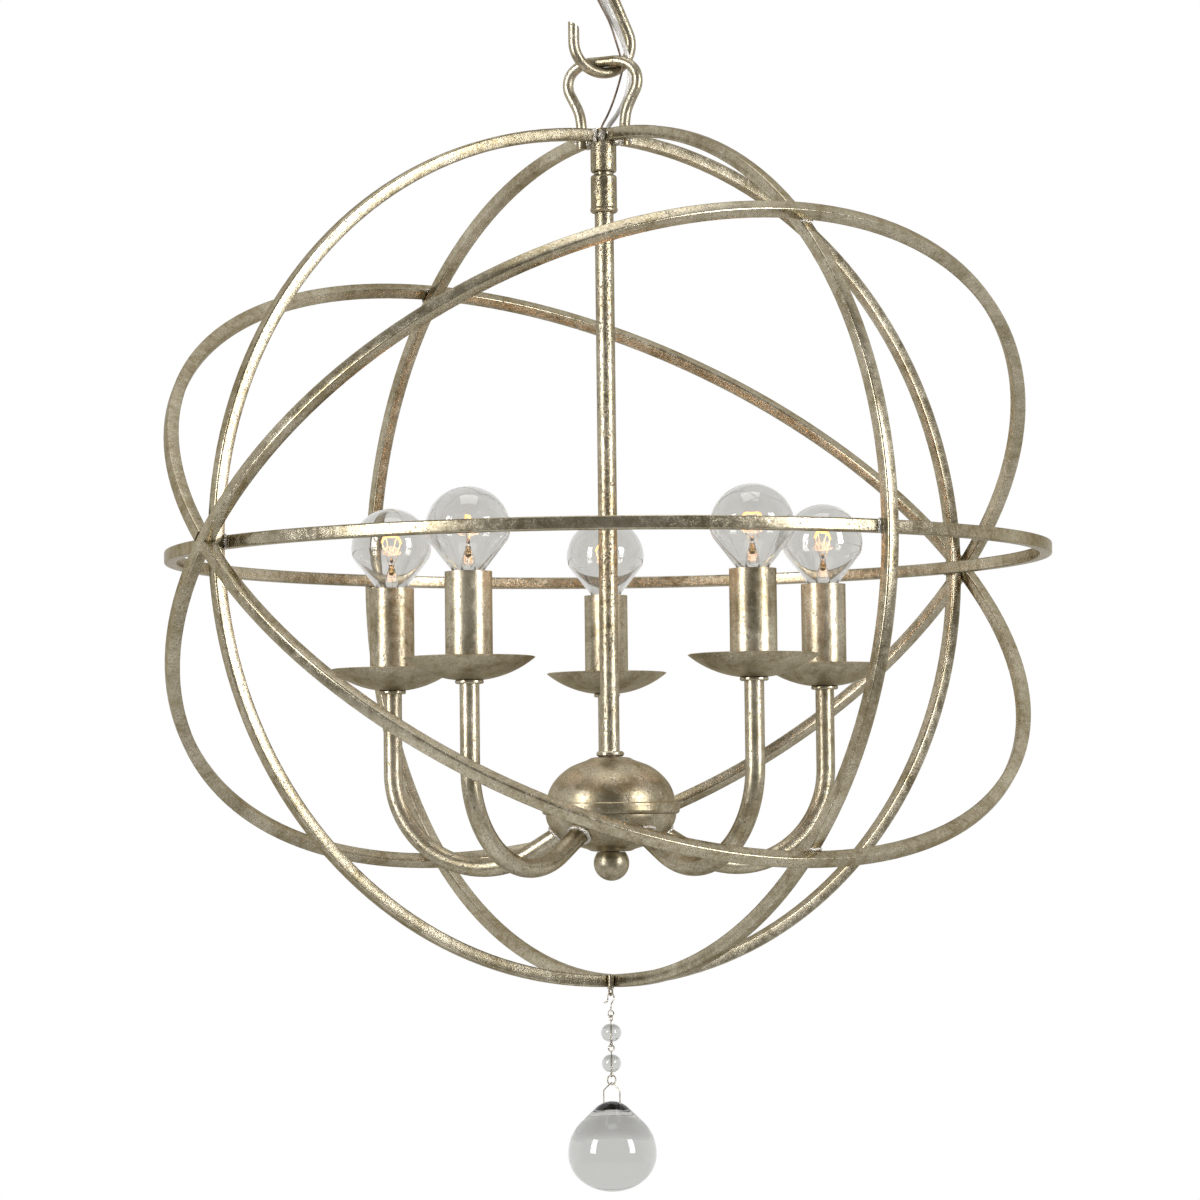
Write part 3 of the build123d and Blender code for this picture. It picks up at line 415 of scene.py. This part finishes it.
def meshObject(name, mesh):
    made = bpy.data.objects.new(name, mesh)
    scene.collection.objects.link(made)
    return made


def shapeObject(name, shape):
    # takes a bmesh shape, and leaves nothing of it
    mesh = bpy.data.meshes.new(name)
    shape.to_mesh(mesh)
    shape.free()
    mesh.shade_smooth()
    return meshObject(name, mesh)


def faceOutwards(item, sharpAngle):
    shape = bmesh.new()
    shape.from_mesh(item.data)
    bmesh.ops.remove_doubles(shape, verts=shape.verts, dist=1e-7)
    bmesh.ops.recalc_face_normals(shape, faces=shape.faces)
    shape.to_mesh(item.data)
    shape.free()
    item.data.shade_smooth()
    item.data.set_sharp_from_angle(angle=math.radians(sharpAngle))
    return item


def joined(name, items):
    first = items[0]
    if len(items) > 1:
        with bpy.context.temp_override(active_object=first, selected_editable_objects=items):
            bpy.ops.object.join()
    first.name = name
    first.data.name = name
    return first


def curveObject(name, points):
    data = bpy.data.curves.new(name, "CURVE")
    data.dimensions = "3D"
    data.resolution_u = 16
    spline = data.splines.new("NURBS")
    spline.points.add(len(points) - 1)
    for point, place in zip(spline.points, points):
        point.co = (*place, 1)
    spline.order_u = 3
    spline.use_endpoint_u = True
    made = bpy.data.objects.new(name, data)
    scene.collection.objects.link(made)
    return made


# routes from the hub's connector up to the bare end above the hook, in mm about the middle of the orb
leadSet = {
    "name": "supplyCord",
    "width": 0.0056,
    "thickness": 0.0029,
    "length": 0.545,
    "route": [
        (21.0, 0.0, -150.0), (1.0, 0.0, -143.0), (1.0, 0.0, -115.0), (1.0, 0.0, 246.0),
        (1.0, 0.0, 271.5), (9.4, 3.0, 282.0), (15.6, 3.4, 294.5), (18.2, 0.6, 308.5),
        (15.2, -2.2, 322.5), (9.6, -3.6, 337.0), (2.6, -5.2, 351.0), (-3.4, -6.8, 364.5), (-7.0, -8.5, 377.0),
    ],
    "turnFrom": 0.318,           # height at which it starts to lie flat to the camera
    "turnOver": 0.045,
    "strandDiameter": 0.0013,
    "strandRoot": 0.001,         # of a strand, inside the insulation
    "strandLength": 0.007,
    "strandSplay": 0.0006,
}
groundSet = {
    "name": "groundWire",
    "diameter": 0.0014,
    "length": 0.54,
    "route": [
        (-17.0, 0.0, -153.0), (-2.55, 0.0, -147.0), (-2.55, 0.0, -136.0), (-2.55, 0.0, 246.0),
        (-2.55, 0.0, 271.5), (3.2, 0.4, 281.5), (7.4, 0.4, 292.0), (11.0, -0.2, 303.5),
        (13.4, -0.5, 313.0), (9.0, -5.4, 327.0), (5.2, -7.0, 339.5), (-1.2, -8.6, 351.5),
        (-6.8, -9.4, 363.0), (-10.6, -9.6, 373.0),
    ],
}


def splineLine(name, points):
    # the points that Blender's own NURBS spline passes through
    guide = curveObject(name + "Guide", [Vector(p) * mm + orbCentre for p in points])
    seen = guide.evaluated_get(bpy.context.evaluated_depsgraph_get())
    mesh = bpy.data.meshes.new_from_object(seen)
    line = [v.co.copy() for v in mesh.vertices]
    bpy.data.objects.remove(guide)
    bpy.data.meshes.remove(mesh)
    return line


def sweptMesh(name, line, section, widthAt):
    # section is a closed outline of (across, through) points; widthAt gives the across direction
    shape = bmesh.new()
    layer = shape.loops.layers.uv.new("run")
    rings, run, done = [], [], 0.0
    for k, place in enumerate(line):
        before, after = line[max(k - 1, 0)], line[min(k + 1, len(line) - 1)]
        along = (after - before).normalized()
        through = along.cross(widthAt(place)).normalized()
        across = through.cross(along)
        rings.append([shape.verts.new(place + a * across + t * through) for a, t in section])
        done += (place - before).length if k else 0.0
        run.append(done)
    count = len(section)
    for k in range(len(rings) - 1):
        for j in range(count):
            n = (j + 1) % count
            face = shape.faces.new((rings[k][j], rings[k][n], rings[k + 1][n], rings[k + 1][j]))
            sides = ((run[k], j), (run[k], j + 1), (run[k + 1], j + 1), (run[k + 1], j))
            for loop, (length, side) in zip(face.loops, sides):
                loop[layer].uv = (length, side / count)
    shape.faces.new(rings[0])
    shape.faces.new(rings[-1])
    bmesh.ops.recalc_face_normals(shape, faces=shape.faces)
    return shapeObject(name, shape)


def roundSection(radius, count):
    return [(radius * math.cos(2 * math.pi * k / count), radius * math.sin(2 * math.pi * k / count))
            for k in range(count)]


def twinSection(width, thickness):
    # two round conductors side by side, with a groove between them
    r = thickness / 2
    reach = width / 2 - r
    right = [(reach + r * math.cos(a), r * math.sin(a)) for a in map(math.radians, range(-125, 126, 25))]
    return right + [(-x, -y) for x, y in right]


def leadWidthWay(place):
    # flat to the camera above the hook, edge on from there down
    height = (place - orbCentre).z
    turn = min(max((height - leadSet["turnFrom"]) / leadSet["turnOver"], 0.0), 1.0)
    turn = turn * turn * (3 - 2 * turn)
    return Vector((turn, 1 - turn, 0.0)).normalized()


def supplyCord(s):
    line = splineLine(s["name"], s["route"])
    cord = sweptMesh(s["name"], line, twinSection(s["width"], s["thickness"]), leadWidthWay)
    cord.data.materials.append(finishes["insulation"])
    tip, way = line[-1], (line[-1] - line[-2]).normalized()
    across = leadWidthWay(tip)
    strands = []
    for side in (-1, 1):
        start = tip + side * across * (s["width"] - s["thickness"]) / 2
        end = start + way * s["strandLength"] + side * across * s["strandSplay"]
        stub = [start - way * s["strandRoot"], start + way * s["strandLength"] / 2, end]
        strands.append(sweptMesh("strand", stub, roundSection(s["strandDiameter"] / 2, 8), leadWidthWay))
    stripped = joined("supplyCordStrands", strands)
    stripped.data.materials.clear()
    stripped.data.materials.append(finishes["copper"])
    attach(stripped, "hook_body")
    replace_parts(cord, "lead_cord")
    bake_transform(cord)


def groundWire(s):
    line = splineLine(s["name"], s["route"])
    section = roundSection(s["diameter"] / 2, 10)
    wire = sweptMesh(s["name"], line, section, lambda place: Vector((0, 1, 0)))
    wire.data.materials.append(finishes["copper"])
    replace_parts(wire, "ground_wire")
    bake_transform(wire)


supplyCord(leadSet)
groundWire(groundSet)
print("supply cord and ground wire hang from the ceiling into the collar")


cageSet = {
    "levelRadius": 0.2755,
    "bar": 0.0078,
    "gap": 0.0002,
    "flatten": 0.9443,       # of the standing rings
    "azimuth": 35.0,         # of the line that the rings share
    "tilt": 42.5,
    "tiltedClearance": 0.0003,
    "cornerRadius": 0.0011,
    "slantedCut": 1.09,      # of a tilted ring's cut, for the angle at which the other crosses it
    "collarRadius": 0.00835,
    "steps": 176,            # for a whole turn
    "sharpAngle": 50,
}


def ringShaper():
    s = Shaper("ringShaper", {
        "Half width": "NodeSocketFloat", "Half height": "NodeSocketFloat", "Bar side": "NodeSocketFloat",
        "Corner radius": "NodeSocketFloat", "Start": "NodeSocketFloat", "Sweep": "NodeSocketFloat",
        "Steps": "NodeSocketInt", "Closed": "NodeSocketBool", "Turn": "NodeSocketVector",
        "Centre": "NodeSocketVector", "Finish": "NodeSocketMaterial"})
    arc = s.node("GeometryNodeCurveArc", {"mode": "RADIUS"}, {
        "Resolution": s.asked("Steps"), "Radius": 1.0, "Start Angle": s.asked("Start"),
        "Sweep Angle": s.asked("Sweep")})
    loop = s.node("GeometryNodeSetSplineCyclic", None, {"Geometry": arc, "Cyclic": s.asked("Closed")})
    halves = s.node("ShaderNodeCombineXYZ", None, {
        0: s.asked("Half width"), 1: s.asked("Half height"), 2: 1.0})
    place = s.node("GeometryNodeInputPosition")
    oval = s.node("ShaderNodeVectorMath", {"operation": "MULTIPLY"}, {0: place, 1: halves})
    line = s.node("GeometryNodeSetPosition", None, {"Geometry": loop, "Position": oval})
    square = s.node("GeometryNodeCurvePrimitiveQuadrilateral", {"mode": "RECTANGLE"}, {
        "Width": s.asked("Bar side"), "Height": s.asked("Bar side")})
    bar = s.node("GeometryNodeFilletCurve", {"mode": "POLY"}, {
        "Curve": square, "Count": 3, "Radius": s.asked("Corner radius")})
    body = s.node("GeometryNodeCurveToMesh", None, {"Curve": line, "Profile Curve": bar, "Fill Caps": True})
    turned = s.node("GeometryNodeTransform", None, {
        "Geometry": body, "Rotation": s.asked("Turn"), "Translation": s.asked("Centre")})
    s.end(turned, s.asked("Finish"))
    return s


def ringArcs(shaper, name, halfWidth, halfHeight, arcs, turn):
    # each arc is (first, last) in degrees; a whole turn closes on itself
    s = cageSet
    parts = []
    for first, last in arcs:
        closed = last - first >= 360
        steps = max(8, round(s["steps"] * (last - first) / 360))
        sweep = (last - first) * ((steps - 1) / steps if closed else 1)
        blank = meshObject(name, bpy.data.meshes.new(name))
        parts.append(shaper.apply(
            blank, name, Half_width=halfWidth, Half_height=halfHeight, Bar_side=s["bar"],
            Corner_radius=s["cornerRadius"], Start=math.radians(first), Sweep=math.radians(sweep),
            Steps=steps, Closed=closed, Turn=[math.radians(a) for a in turn], Centre=orbCentre,
            Finish=finishes["leaf"]))
    ring = faceOutwards(joined(name, parts), s["sharpAngle"])
    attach(ring, "cage")
    return ring


def cageRings(s):
    shaper = ringShaper()
    step = s["bar"] + s["gap"]
    wide = s["levelRadius"] + step
    high = wide * s["flatten"]
    tiltedWide = wide + step
    slope = math.radians(s["tilt"])
    tiltedHigh = 1 / math.hypot(math.cos(slope) / wide, math.sin(slope) / high) + step + s["tiltedClearance"]
    topGap = math.degrees(math.asin(s["collarRadius"] / wide))
    halfBar = s["bar"] / 2 + s["gap"] / 2
    footGap = math.degrees(math.asin(halfBar / wide))
    sideGap = math.degrees(math.asin(halfBar * s["slantedCut"] / tiltedHigh))
    standing = (90, 0, s["azimuth"])
    crossed = (90, 0, s["azimuth"] + 90)
    halves = [(90 + topGap, 270 - footGap), (270 + footGap, 450 - topGap)]
    tiltedHalves = [(sideGap, 180 - sideGap), (180 + sideGap, 360 - sideGap)]
    level = (0, 0, s["azimuth"])
    leaning, other = (-s["tilt"], 0, s["azimuth"]), (s["tilt"], 0, s["azimuth"])
    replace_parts(ringArcs(shaper, "levelRing", s["levelRadius"], s["levelRadius"], [(0, 360)], level),
                "equator_ring")
    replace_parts(ringArcs(shaper, "standingRing1", wide, high, [(90 + topGap, 450 - topGap)], standing),
                "meridian_ring_1")
    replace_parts(ringArcs(shaper, "standingRing2", wide, high, halves, crossed), "meridian_ring_2")
    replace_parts(ringArcs(shaper, "tiltedRing1", tiltedWide, tiltedHigh, [(0, 360)], leaning),
                "tilted_ring_1")
    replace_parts(ringArcs(shaper, "tiltedRing2", tiltedWide, tiltedHigh, tiltedHalves, other),
                "tilted_ring_2")


cageRings(cageSet)
print("five rings of square bar with eased corners")


weldSet = {
    "cageLump": 0.0011,
    "armLump": 0.0012,
    "grain": 330.0,
    "level": 0.42,           # of the noise, at which the face stays where it is
    # weld metal between the bars and the hanging loop's feet, beside the collar
    "topBlobs": [
        {"azimuth": 322.0, "out": 12.4, "height": 264.6, "size": (4.4, 3.4, 4.2)},
        {"azimuth": 142.0, "out": 12.4, "height": 264.6, "size": (4.4, 3.4, 4.2)},
        {"azimuth": 298.0, "out": 9.6, "height": 268.4, "size": (3.4, 2.8, 2.4)},
        {"azimuth": 264.0, "out": 9.2, "height": 266.8, "size": (3.2, 2.8, 3.0)},
    ],
    "topLump": 0.0022,
}


def lumpShaper():
    s = Shaper("lumpShaper", {
        "Lump": "NodeSocketFloat", "Grain": "NodeSocketFloat", "Seed": "NodeSocketFloat",
        "Finish": "NodeSocketMaterial"})
    whole = s.node("GeometryNodeMergeByDistance", None, {"Geometry": s.asked("Geometry"), "Distance": 1e-6})
    noise = s.node("ShaderNodeTexNoise", {"noise_dimensions": "4D"}, {
        "W": s.asked("Seed"), "Scale": s.asked("Grain"), "Detail": 2.0})
    amount = (noise - weldSet["level"]) * s.asked("Lump")
    normal = s.node("GeometryNodeInputNormal")
    push = s.node("ShaderNodeVectorMath", {"operation": "SCALE"}, {0: normal, "Scale": amount})
    lumpy = s.node("GeometryNodeSetPosition", None, {"Geometry": whole, "Offset": push})
    s.end(lumpy, s.asked("Finish"))
    return s


def lumpyWeld(shaper, name, item, body, lump, seed):
    made = shaper.apply(item, name, Lump=lump, Grain=weldSet["grain"], Seed=seed, Finish=finishes["weld"])
    made.data.shade_smooth()
    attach(made, body)
    return made


def weldBlob(blob):
    shape = bmesh.new()
    turn = Matrix.Rotation(math.radians(blob["azimuth"]), 4, "Z")
    place = Matrix.Translation(orbCentre + Vector((0, 0, blob["height"])) * mm)
    out = Matrix.Translation(Vector((blob["out"], 0, 0)) * mm)
    size = Matrix.Diagonal((*(Vector(blob["size"]) * mm), 1))
    bmesh.ops.create_icosphere(shape, subdivisions=4, radius=1.0, matrix=place @ turn @ out @ size)
    return shapeObject("topWeld", shape)


def welds(s):
    shaper = lumpShaper()
    for name, node, body, lump, seed in (
            ("cageWelds", "weld_beads", "cage", s["cageLump"], 3.0),
            ("armWelds", "arm_welds", "cluster", s["armLump"], 8.0)):
        copy = meshObject(name, nodes[node].data.copy())
        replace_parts(lumpyWeld(shaper, name, copy, body, lump, seed), node)
    blobs = joined("topWelds", [weldBlob(blob) for blob in s["topBlobs"]])
    lumpyWeld(shaper, "topWelds", blobs, "cage", s["topLump"], 5.0)


welds(weldSet)
print("weld metal at the rings' crossings and the arms' roots")


loopSet = {
    "rod": 0.0068,
    "azimuth": -25.0,
    "sides": 28,
    "sharpAngle": 50,
    # half of its line: (out, up) from the middle of the orb, foot to crown
    "half": [(15.1, 260.6), (15.1, 268.0), (15.1, 275.5), (16.5, 284.0), (20.7, 292.0), (24.8, 299.6),
             (23.6, 308.2), (17.4, 313.8), (10.2, 315.7), (4.0, 315.5)],
}
hookTipSet = {
    "azimuth": 20.0,
    "place": (-22.7, 340.3),     # outer corner of the cut, (out, up)
    "slant": 30.0,
    "reach": 0.016,              # of the faces about that corner that the cut may meet
    "sharpAngle": 40,
}


def hangingLoop(s, wires):
    line = [(-x, z) for x, z in s["half"]] + [(x, z) for x, z in reversed(s["half"])]
    turn = Matrix.Rotation(math.radians(s["azimuth"]), 4, "Z")
    guide = curveObject("guide", [turn @ Vector((x, 0, z)) * mm + orbCentre for x, z in line])
    loop = wires.apply(guide, "hangingLoop", Radius=s["rod"] / 2, Sides=s["sides"],
                       Finish=finishes["leafTube"])
    faceOutwards(loop, s["sharpAngle"])
    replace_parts(loop, "hanging_loop")
    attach(loop, "cage")


def ceilingHook(s):
    # the forged rod as it is, with its free end cut on the slant
    shape = bmesh.new()
    shape.from_mesh(nodes["hook"].data)
    bmesh.ops.remove_doubles(shape, verts=shape.verts, dist=1e-6)
    turn = Matrix.Rotation(math.radians(s["azimuth"]), 4, "Z")
    out, up = s["place"]
    corner = turn @ Vector((out, 0, up)) * mm + orbCentre
    slant = math.radians(s["slant"])
    normal = turn @ Vector((math.sin(slant), 0, math.cos(slant)))

    def atTip(face):
        middle = face.calc_center_median()
        return (middle - corner).length < s["reach"] and middle.x < orbCentre.x

    near = [face for face in shape.faces if atTip(face)]
    parts = near + [edge for face in near for edge in face.edges] + [v for face in near for v in face.verts]
    cut = bmesh.ops.bisect_plane(shape, geom=list(dict.fromkeys(parts)), plane_co=corner, plane_no=normal,
                                 clear_outer=True, dist=1e-7)
    rim = [item for item in cut["geom_cut"] if isinstance(item, bmesh.types.BMEdge)]
    bmesh.ops.edgeloop_fill(shape, edges=rim)
    bmesh.ops.recalc_face_normals(shape, faces=shape.faces)
    hook = shapeObject("ceilingHook", shape)
    hook.data.set_sharp_from_angle(angle=math.radians(s["sharpAngle"]))
    hook.data.materials.append(finishes["leafTube"])
    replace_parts(hook, "hook")
    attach(hook, "hook_body")


# a lamp's points are (across, toward, up) from its globe's centre, and its outlines (radius, height)
lampSet = {
    "turns": {1: 38.0, 2: 12.0, 3: 22.0, 4: 78.0, 5: -8.0},     # as the lamps were screwed home
    "lead": [(0.0013, 0, -0.0155), (0.0014, 0, -0.0105), (0.0042, 0, -0.003), (0.0066, 0, 0.0035),
             (0.0066, 0, 0.0041)],
    "leadRadius": 0.00032,
    "prop": [(0.0004, 0.0006, -0.0075), (0.001, 0.0008, -0.002), (0.004, 0.0004, 0.0077),
             (0.004, -0.0004, 0.0085)],
    "propRadius": 0.00018,
    # half of the filament, from a lead to the middle
    "filament": [(0.0066, 0, 0.0035), (0.005676, 0, 0.0063), (0.004, 0, 0.0082), (0, 0, 0.0076)],
    "coilRadius": 0.00055,
    "coilWire": 0.00024,
    "coilTurns": 26,
    "coilSteps": 220,
    # the glass flare that carries the wires, its seal, the dark bead and the post under it
    "turned": [
        {"finish": "flareGlass", "steps": 28, "outline": [
            (0, -0.0265), (0.0046, -0.0262), (0.0040, -0.020), (0.0026, -0.0145), (0.0020, -0.0125),
            (0.0017, -0.0105), (0, -0.0099)]},
        {"finish": "brass", "steps": 16, "outline": [
            (0, -0.0175), (0.0011, -0.0171), (0.0013, -0.0145), (0.0008, -0.0115), (0, -0.0111)]},
        {"finish": "socket", "steps": 16, "outline": [
            (0, -0.0091), (0.0010, -0.0087), (0.0013, -0.0075), (0.0008, -0.0064), (0, -0.0061)]},
        {"finish": "wire", "steps": 8, "outline": [
            (0, -0.0125), (0.0006, -0.0125), (0.0006, -0.0075), (0, -0.0075)]},
    ],
    "lightHeight": 0.00492,
    "lightPower": 0.09,
    "lightColour": (1.0, 0.47, 0.17),
    "lightRadius": 0.007,
    # glass that throws no hard shadow
    "clearNodes": ["glass_drop", "bead_1", "bead_2", *(f"bulb_glass_{k}" for k in range(1, 6))],
}


def wireShaper():
    s = Shaper("wireShaper", {
        "Radius": "NodeSocketFloat", "Sides": "NodeSocketInt", "Finish": "NodeSocketMaterial"})
    section = s.node("GeometryNodeCurvePrimitiveCircle", {"mode": "RADIUS"}, {
        "Resolution": s.asked("Sides"), "Radius": s.asked("Radius")})
    body = s.node("GeometryNodeCurveToMesh", None, {
        "Curve": s.asked("Geometry"), "Profile Curve": section, "Fill Caps": True})
    s.end(body, s.asked("Finish"))
    return s


def coilShaper():
    # a fine coil wound round the curve it is given
    s = Shaper("coilShaper", {
        "Radius": "NodeSocketFloat", "Wire radius": "NodeSocketFloat", "Whole angle": "NodeSocketFloat",
        "Steps": "NodeSocketInt", "Finish": "NodeSocketMaterial"})
    dense = s.node("GeometryNodeResampleCurve", None, {
        "Curve": s.asked("Geometry"), "Count": s.asked("Steps")})
    angle = s.node("GeometryNodeSplineParameter", out="Factor") * s.asked("Whole angle")
    spun = s.node("ShaderNodeVectorRotate", {"rotation_type": "AXIS_ANGLE"}, {
        "Vector": s.node("GeometryNodeInputNormal"), "Axis": s.node("GeometryNodeInputTangent"),
        "Angle": angle})
    out = s.node("ShaderNodeVectorMath", {"operation": "SCALE"}, {0: spun, "Scale": s.asked("Radius")})
    coil = s.node("GeometryNodeSetPosition", None, {"Geometry": dense, "Offset": out})
    section = s.node("GeometryNodeCurvePrimitiveCircle", {"mode": "RADIUS"}, {
        "Resolution": 6, "Radius": s.asked("Wire radius")})
    body = s.node("GeometryNodeCurveToMesh", None, {
        "Curve": coil, "Profile Curve": section, "Fill Caps": True})
    s.end(body, s.asked("Finish"))
    return s


def lathed(name, outline, steps):
    # outline is (radius, height) points from one pole to the other
    shape = bmesh.new()
    rings = []
    for radius, height in outline:
        if radius < 1e-7:
            rings.append([shape.verts.new((0, 0, height))])
        else:
            rings.append([shape.verts.new((radius * math.cos(a), radius * math.sin(a), height))
                          for a in (2 * math.pi * k / steps for k in range(steps))])
    for low, high in zip(rings, rings[1:]):
        for k in range(steps):
            n = (k + 1) % steps
            corners = [low[k % len(low)], low[n % len(low)], high[n % len(high)], high[k % len(high)]]
            shape.faces.new(list(dict.fromkeys(corners)))
    bmesh.ops.recalc_face_normals(shape, faces=shape.faces)
    return shapeObject(name, shape)


def mirrored(points):
    return [(-x, y, z) for x, y, z in points]


def lampInside(number, s, wires, coils):
    low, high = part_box(f"bulb_glass_{number}")
    radius = (high.x - low.x) / 2
    centre = Vector(((low.x + high.x) / 2, (low.y + high.y) / 2, high.z - radius))
    turn = Matrix.Translation(centre) @ Matrix.Rotation(math.radians(s["turns"][number]), 4, "Z")
    parts = []

    def guide(points):
        return curveObject("guide", [turn @ Vector(p) for p in points])

    def addWire(points, radius, sides):
        parts.append(wires.apply(guide(points), "wire", Radius=radius, Sides=sides, Finish=finishes["wire"]))

    for side in (mirrored, list):
        addWire(side(s["lead"]), s["leadRadius"], 8)
        addWire(side(s["prop"]), s["propRadius"], 6)
    whole = mirrored(s["filament"]) + s["filament"][-2::-1]
    parts.append(coils.apply(
        guide(whole), "coil", Radius=s["coilRadius"], Wire_radius=s["coilWire"],
        Whole_angle=2 * math.pi * s["coilTurns"], Steps=s["coilSteps"], Finish=finishes["filament"]))
    for piece in s["turned"]:
        item = lathed("turned", piece["outline"], piece["steps"])
        item.data.materials.append(finishes[piece["finish"]])
        item.data.transform(turn)
        parts.append(item)
    inside = joined(f"lampInside{number}", parts)
    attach(inside, f"bulb_{number}")
    light = bpy.data.lights.new(f"lampLight{number}", "POINT")
    light.energy = s["lightPower"]
    light.color = s["lightColour"]
    light.shadow_soft_size = s["lightRadius"]
    lit = bpy.data.objects.new(f"lampLight{number}", light)
    scene.collection.objects.link(lit)
    lit.location = turn @ Vector((0, 0, s["lightHeight"]))
    lit.visible_transmission = False     # the filament shows through the glass, not the lamp's own sphere


def lamps(s, wires):
    coils = coilShaper()
    for number in s["turns"]:
        lampInside(number, s, wires, coils)
    for name in s["clearNodes"]:
        nodes[name].visible_shadow = False


wires = wireShaper()
hangingLoop(loopSet, wires)
ceilingHook(hookTipSet)
print("loop bent from rod, and the hook cut at its tip")
lamps(lampSet, wires)
print("filaments lit in", len(lampSet["turns"]), "lamps")


studioSet = {
    "floorRadius": 2.4,
    "floorHeight": -1.45,
    "floorFade": 0.35,       # of its radius, from which it fades out
    # softboxes: turn from the camera's side and lift above the orb's middle, in degrees
    "boxes": {
        "leftSoftbox": {"turn": -52.0, "lift": 10.0, "distance": 2.1, "size": (0.6, 1.3), "power": 34.0},
        "rightSoftbox": {"turn": 54.0, "lift": 10.0, "distance": 2.1, "size": (0.6, 1.3), "power": 34.0},
        "topSoftbox": {"turn": 0.0, "lift": 82.0, "distance": 2.0, "size": (1.2, 1.2), "power": 10.0},
    },
    "worldStrength": 0.30,
    "dimTo": -0.25,          # of the way's Y, from which the backdrop starts to show
    "whiteFrom": 0.30,
}


def softbox(name, s):
    data = bpy.data.lights.new(name, "AREA")
    data.shape = "RECTANGLE"
    data.size, data.size_y = s["size"]
    data.energy = s["power"]
    lamp = bpy.data.objects.new(name, data)
    scene.collection.objects.link(lamp)
    turn, lift = math.radians(s["turn"]), math.radians(s["lift"])
    away = Vector((math.sin(turn) * math.cos(lift), -math.cos(turn) * math.cos(lift), math.sin(lift)))
    facing = away.to_track_quat("Z", "Y").to_matrix().to_4x4()
    lamp.matrix_world = Matrix.Translation(orbCentre + away * s["distance"]) @ facing


def studioWorld(s):
    world = bpy.data.worlds.new("studio")
    world.use_nodes = True
    world.node_tree.nodes.clear()
    sky = NodeTree(world.node_tree)
    # metal shows the white backdrop behind the object, and the dimmer room in front of it
    way = sky.node("ShaderNodeTexCoord", out="Generated")
    behind = sky.node("ShaderNodeMapRange", {"interpolation_type": "SMOOTHSTEP"}, {
        "Value": sky.node("ShaderNodeSeparateXYZ", None, {0: way}, "Y"),
        "From Min": s["dimTo"], "From Max": s["whiteFrom"]})
    camera, glossy, through = (sky.node("ShaderNodeLightPath", out=f"Is {kind} Ray")
                               for kind in ("Camera", "Glossy", "Transmission"))
    seen = camera + through + glossy * behind
    plain = sky.node("ShaderNodeBackground", None, {"Color": (1, 1, 1, 1), "Strength": s["worldStrength"]})
    white = sky.node("ShaderNodeBackground", None, {"Color": (1, 1, 1, 1)})
    mixed = sky.node("ShaderNodeMixShader", None, {0: seen, 1: plain, 2: white})
    sky.node("ShaderNodeOutputWorld", None, {"Surface": mixed})
    scene.world = world


def paleFloor(s):
    f = Finish("paleFloor")
    place = f.objectPlace()
    grain = f.noise(place, 6.0, 4.0, 0.6)
    far = f.node("ShaderNodeVectorMath", {"operation": "LENGTH"}, {0: place}, out="Value")
    fade = f.node("ShaderNodeMapRange", None, {
        "Value": far, "From Min": s["floorRadius"] * s["floorFade"], "From Max": s["floorRadius"]})
    ground = f.surface(Base_Color=f.mix(grain, (0.90, 0.90, 0.89), (0.93, 0.93, 0.92)), Roughness=0.7)
    clear = f.node("ShaderNodeBsdfTransparent")
    finish = f.done(f.node("ShaderNodeMixShader", None, {0: fade, 1: ground, 2: clear}))
    shape = bmesh.new()
    bmesh.ops.create_circle(shape, cap_ends=True, segments=96, radius=s["floorRadius"])
    floor = shapeObject("floor", shape)
    floor.location.z = s["floorHeight"]
    floor.data.materials.append(finish)


studioWorld(studioSet)
paleFloor(studioSet)
for name, box in studioSet["boxes"].items():
    softbox(name, box)
scene.view_settings.view_transform = "Standard"
print("studio is lit")
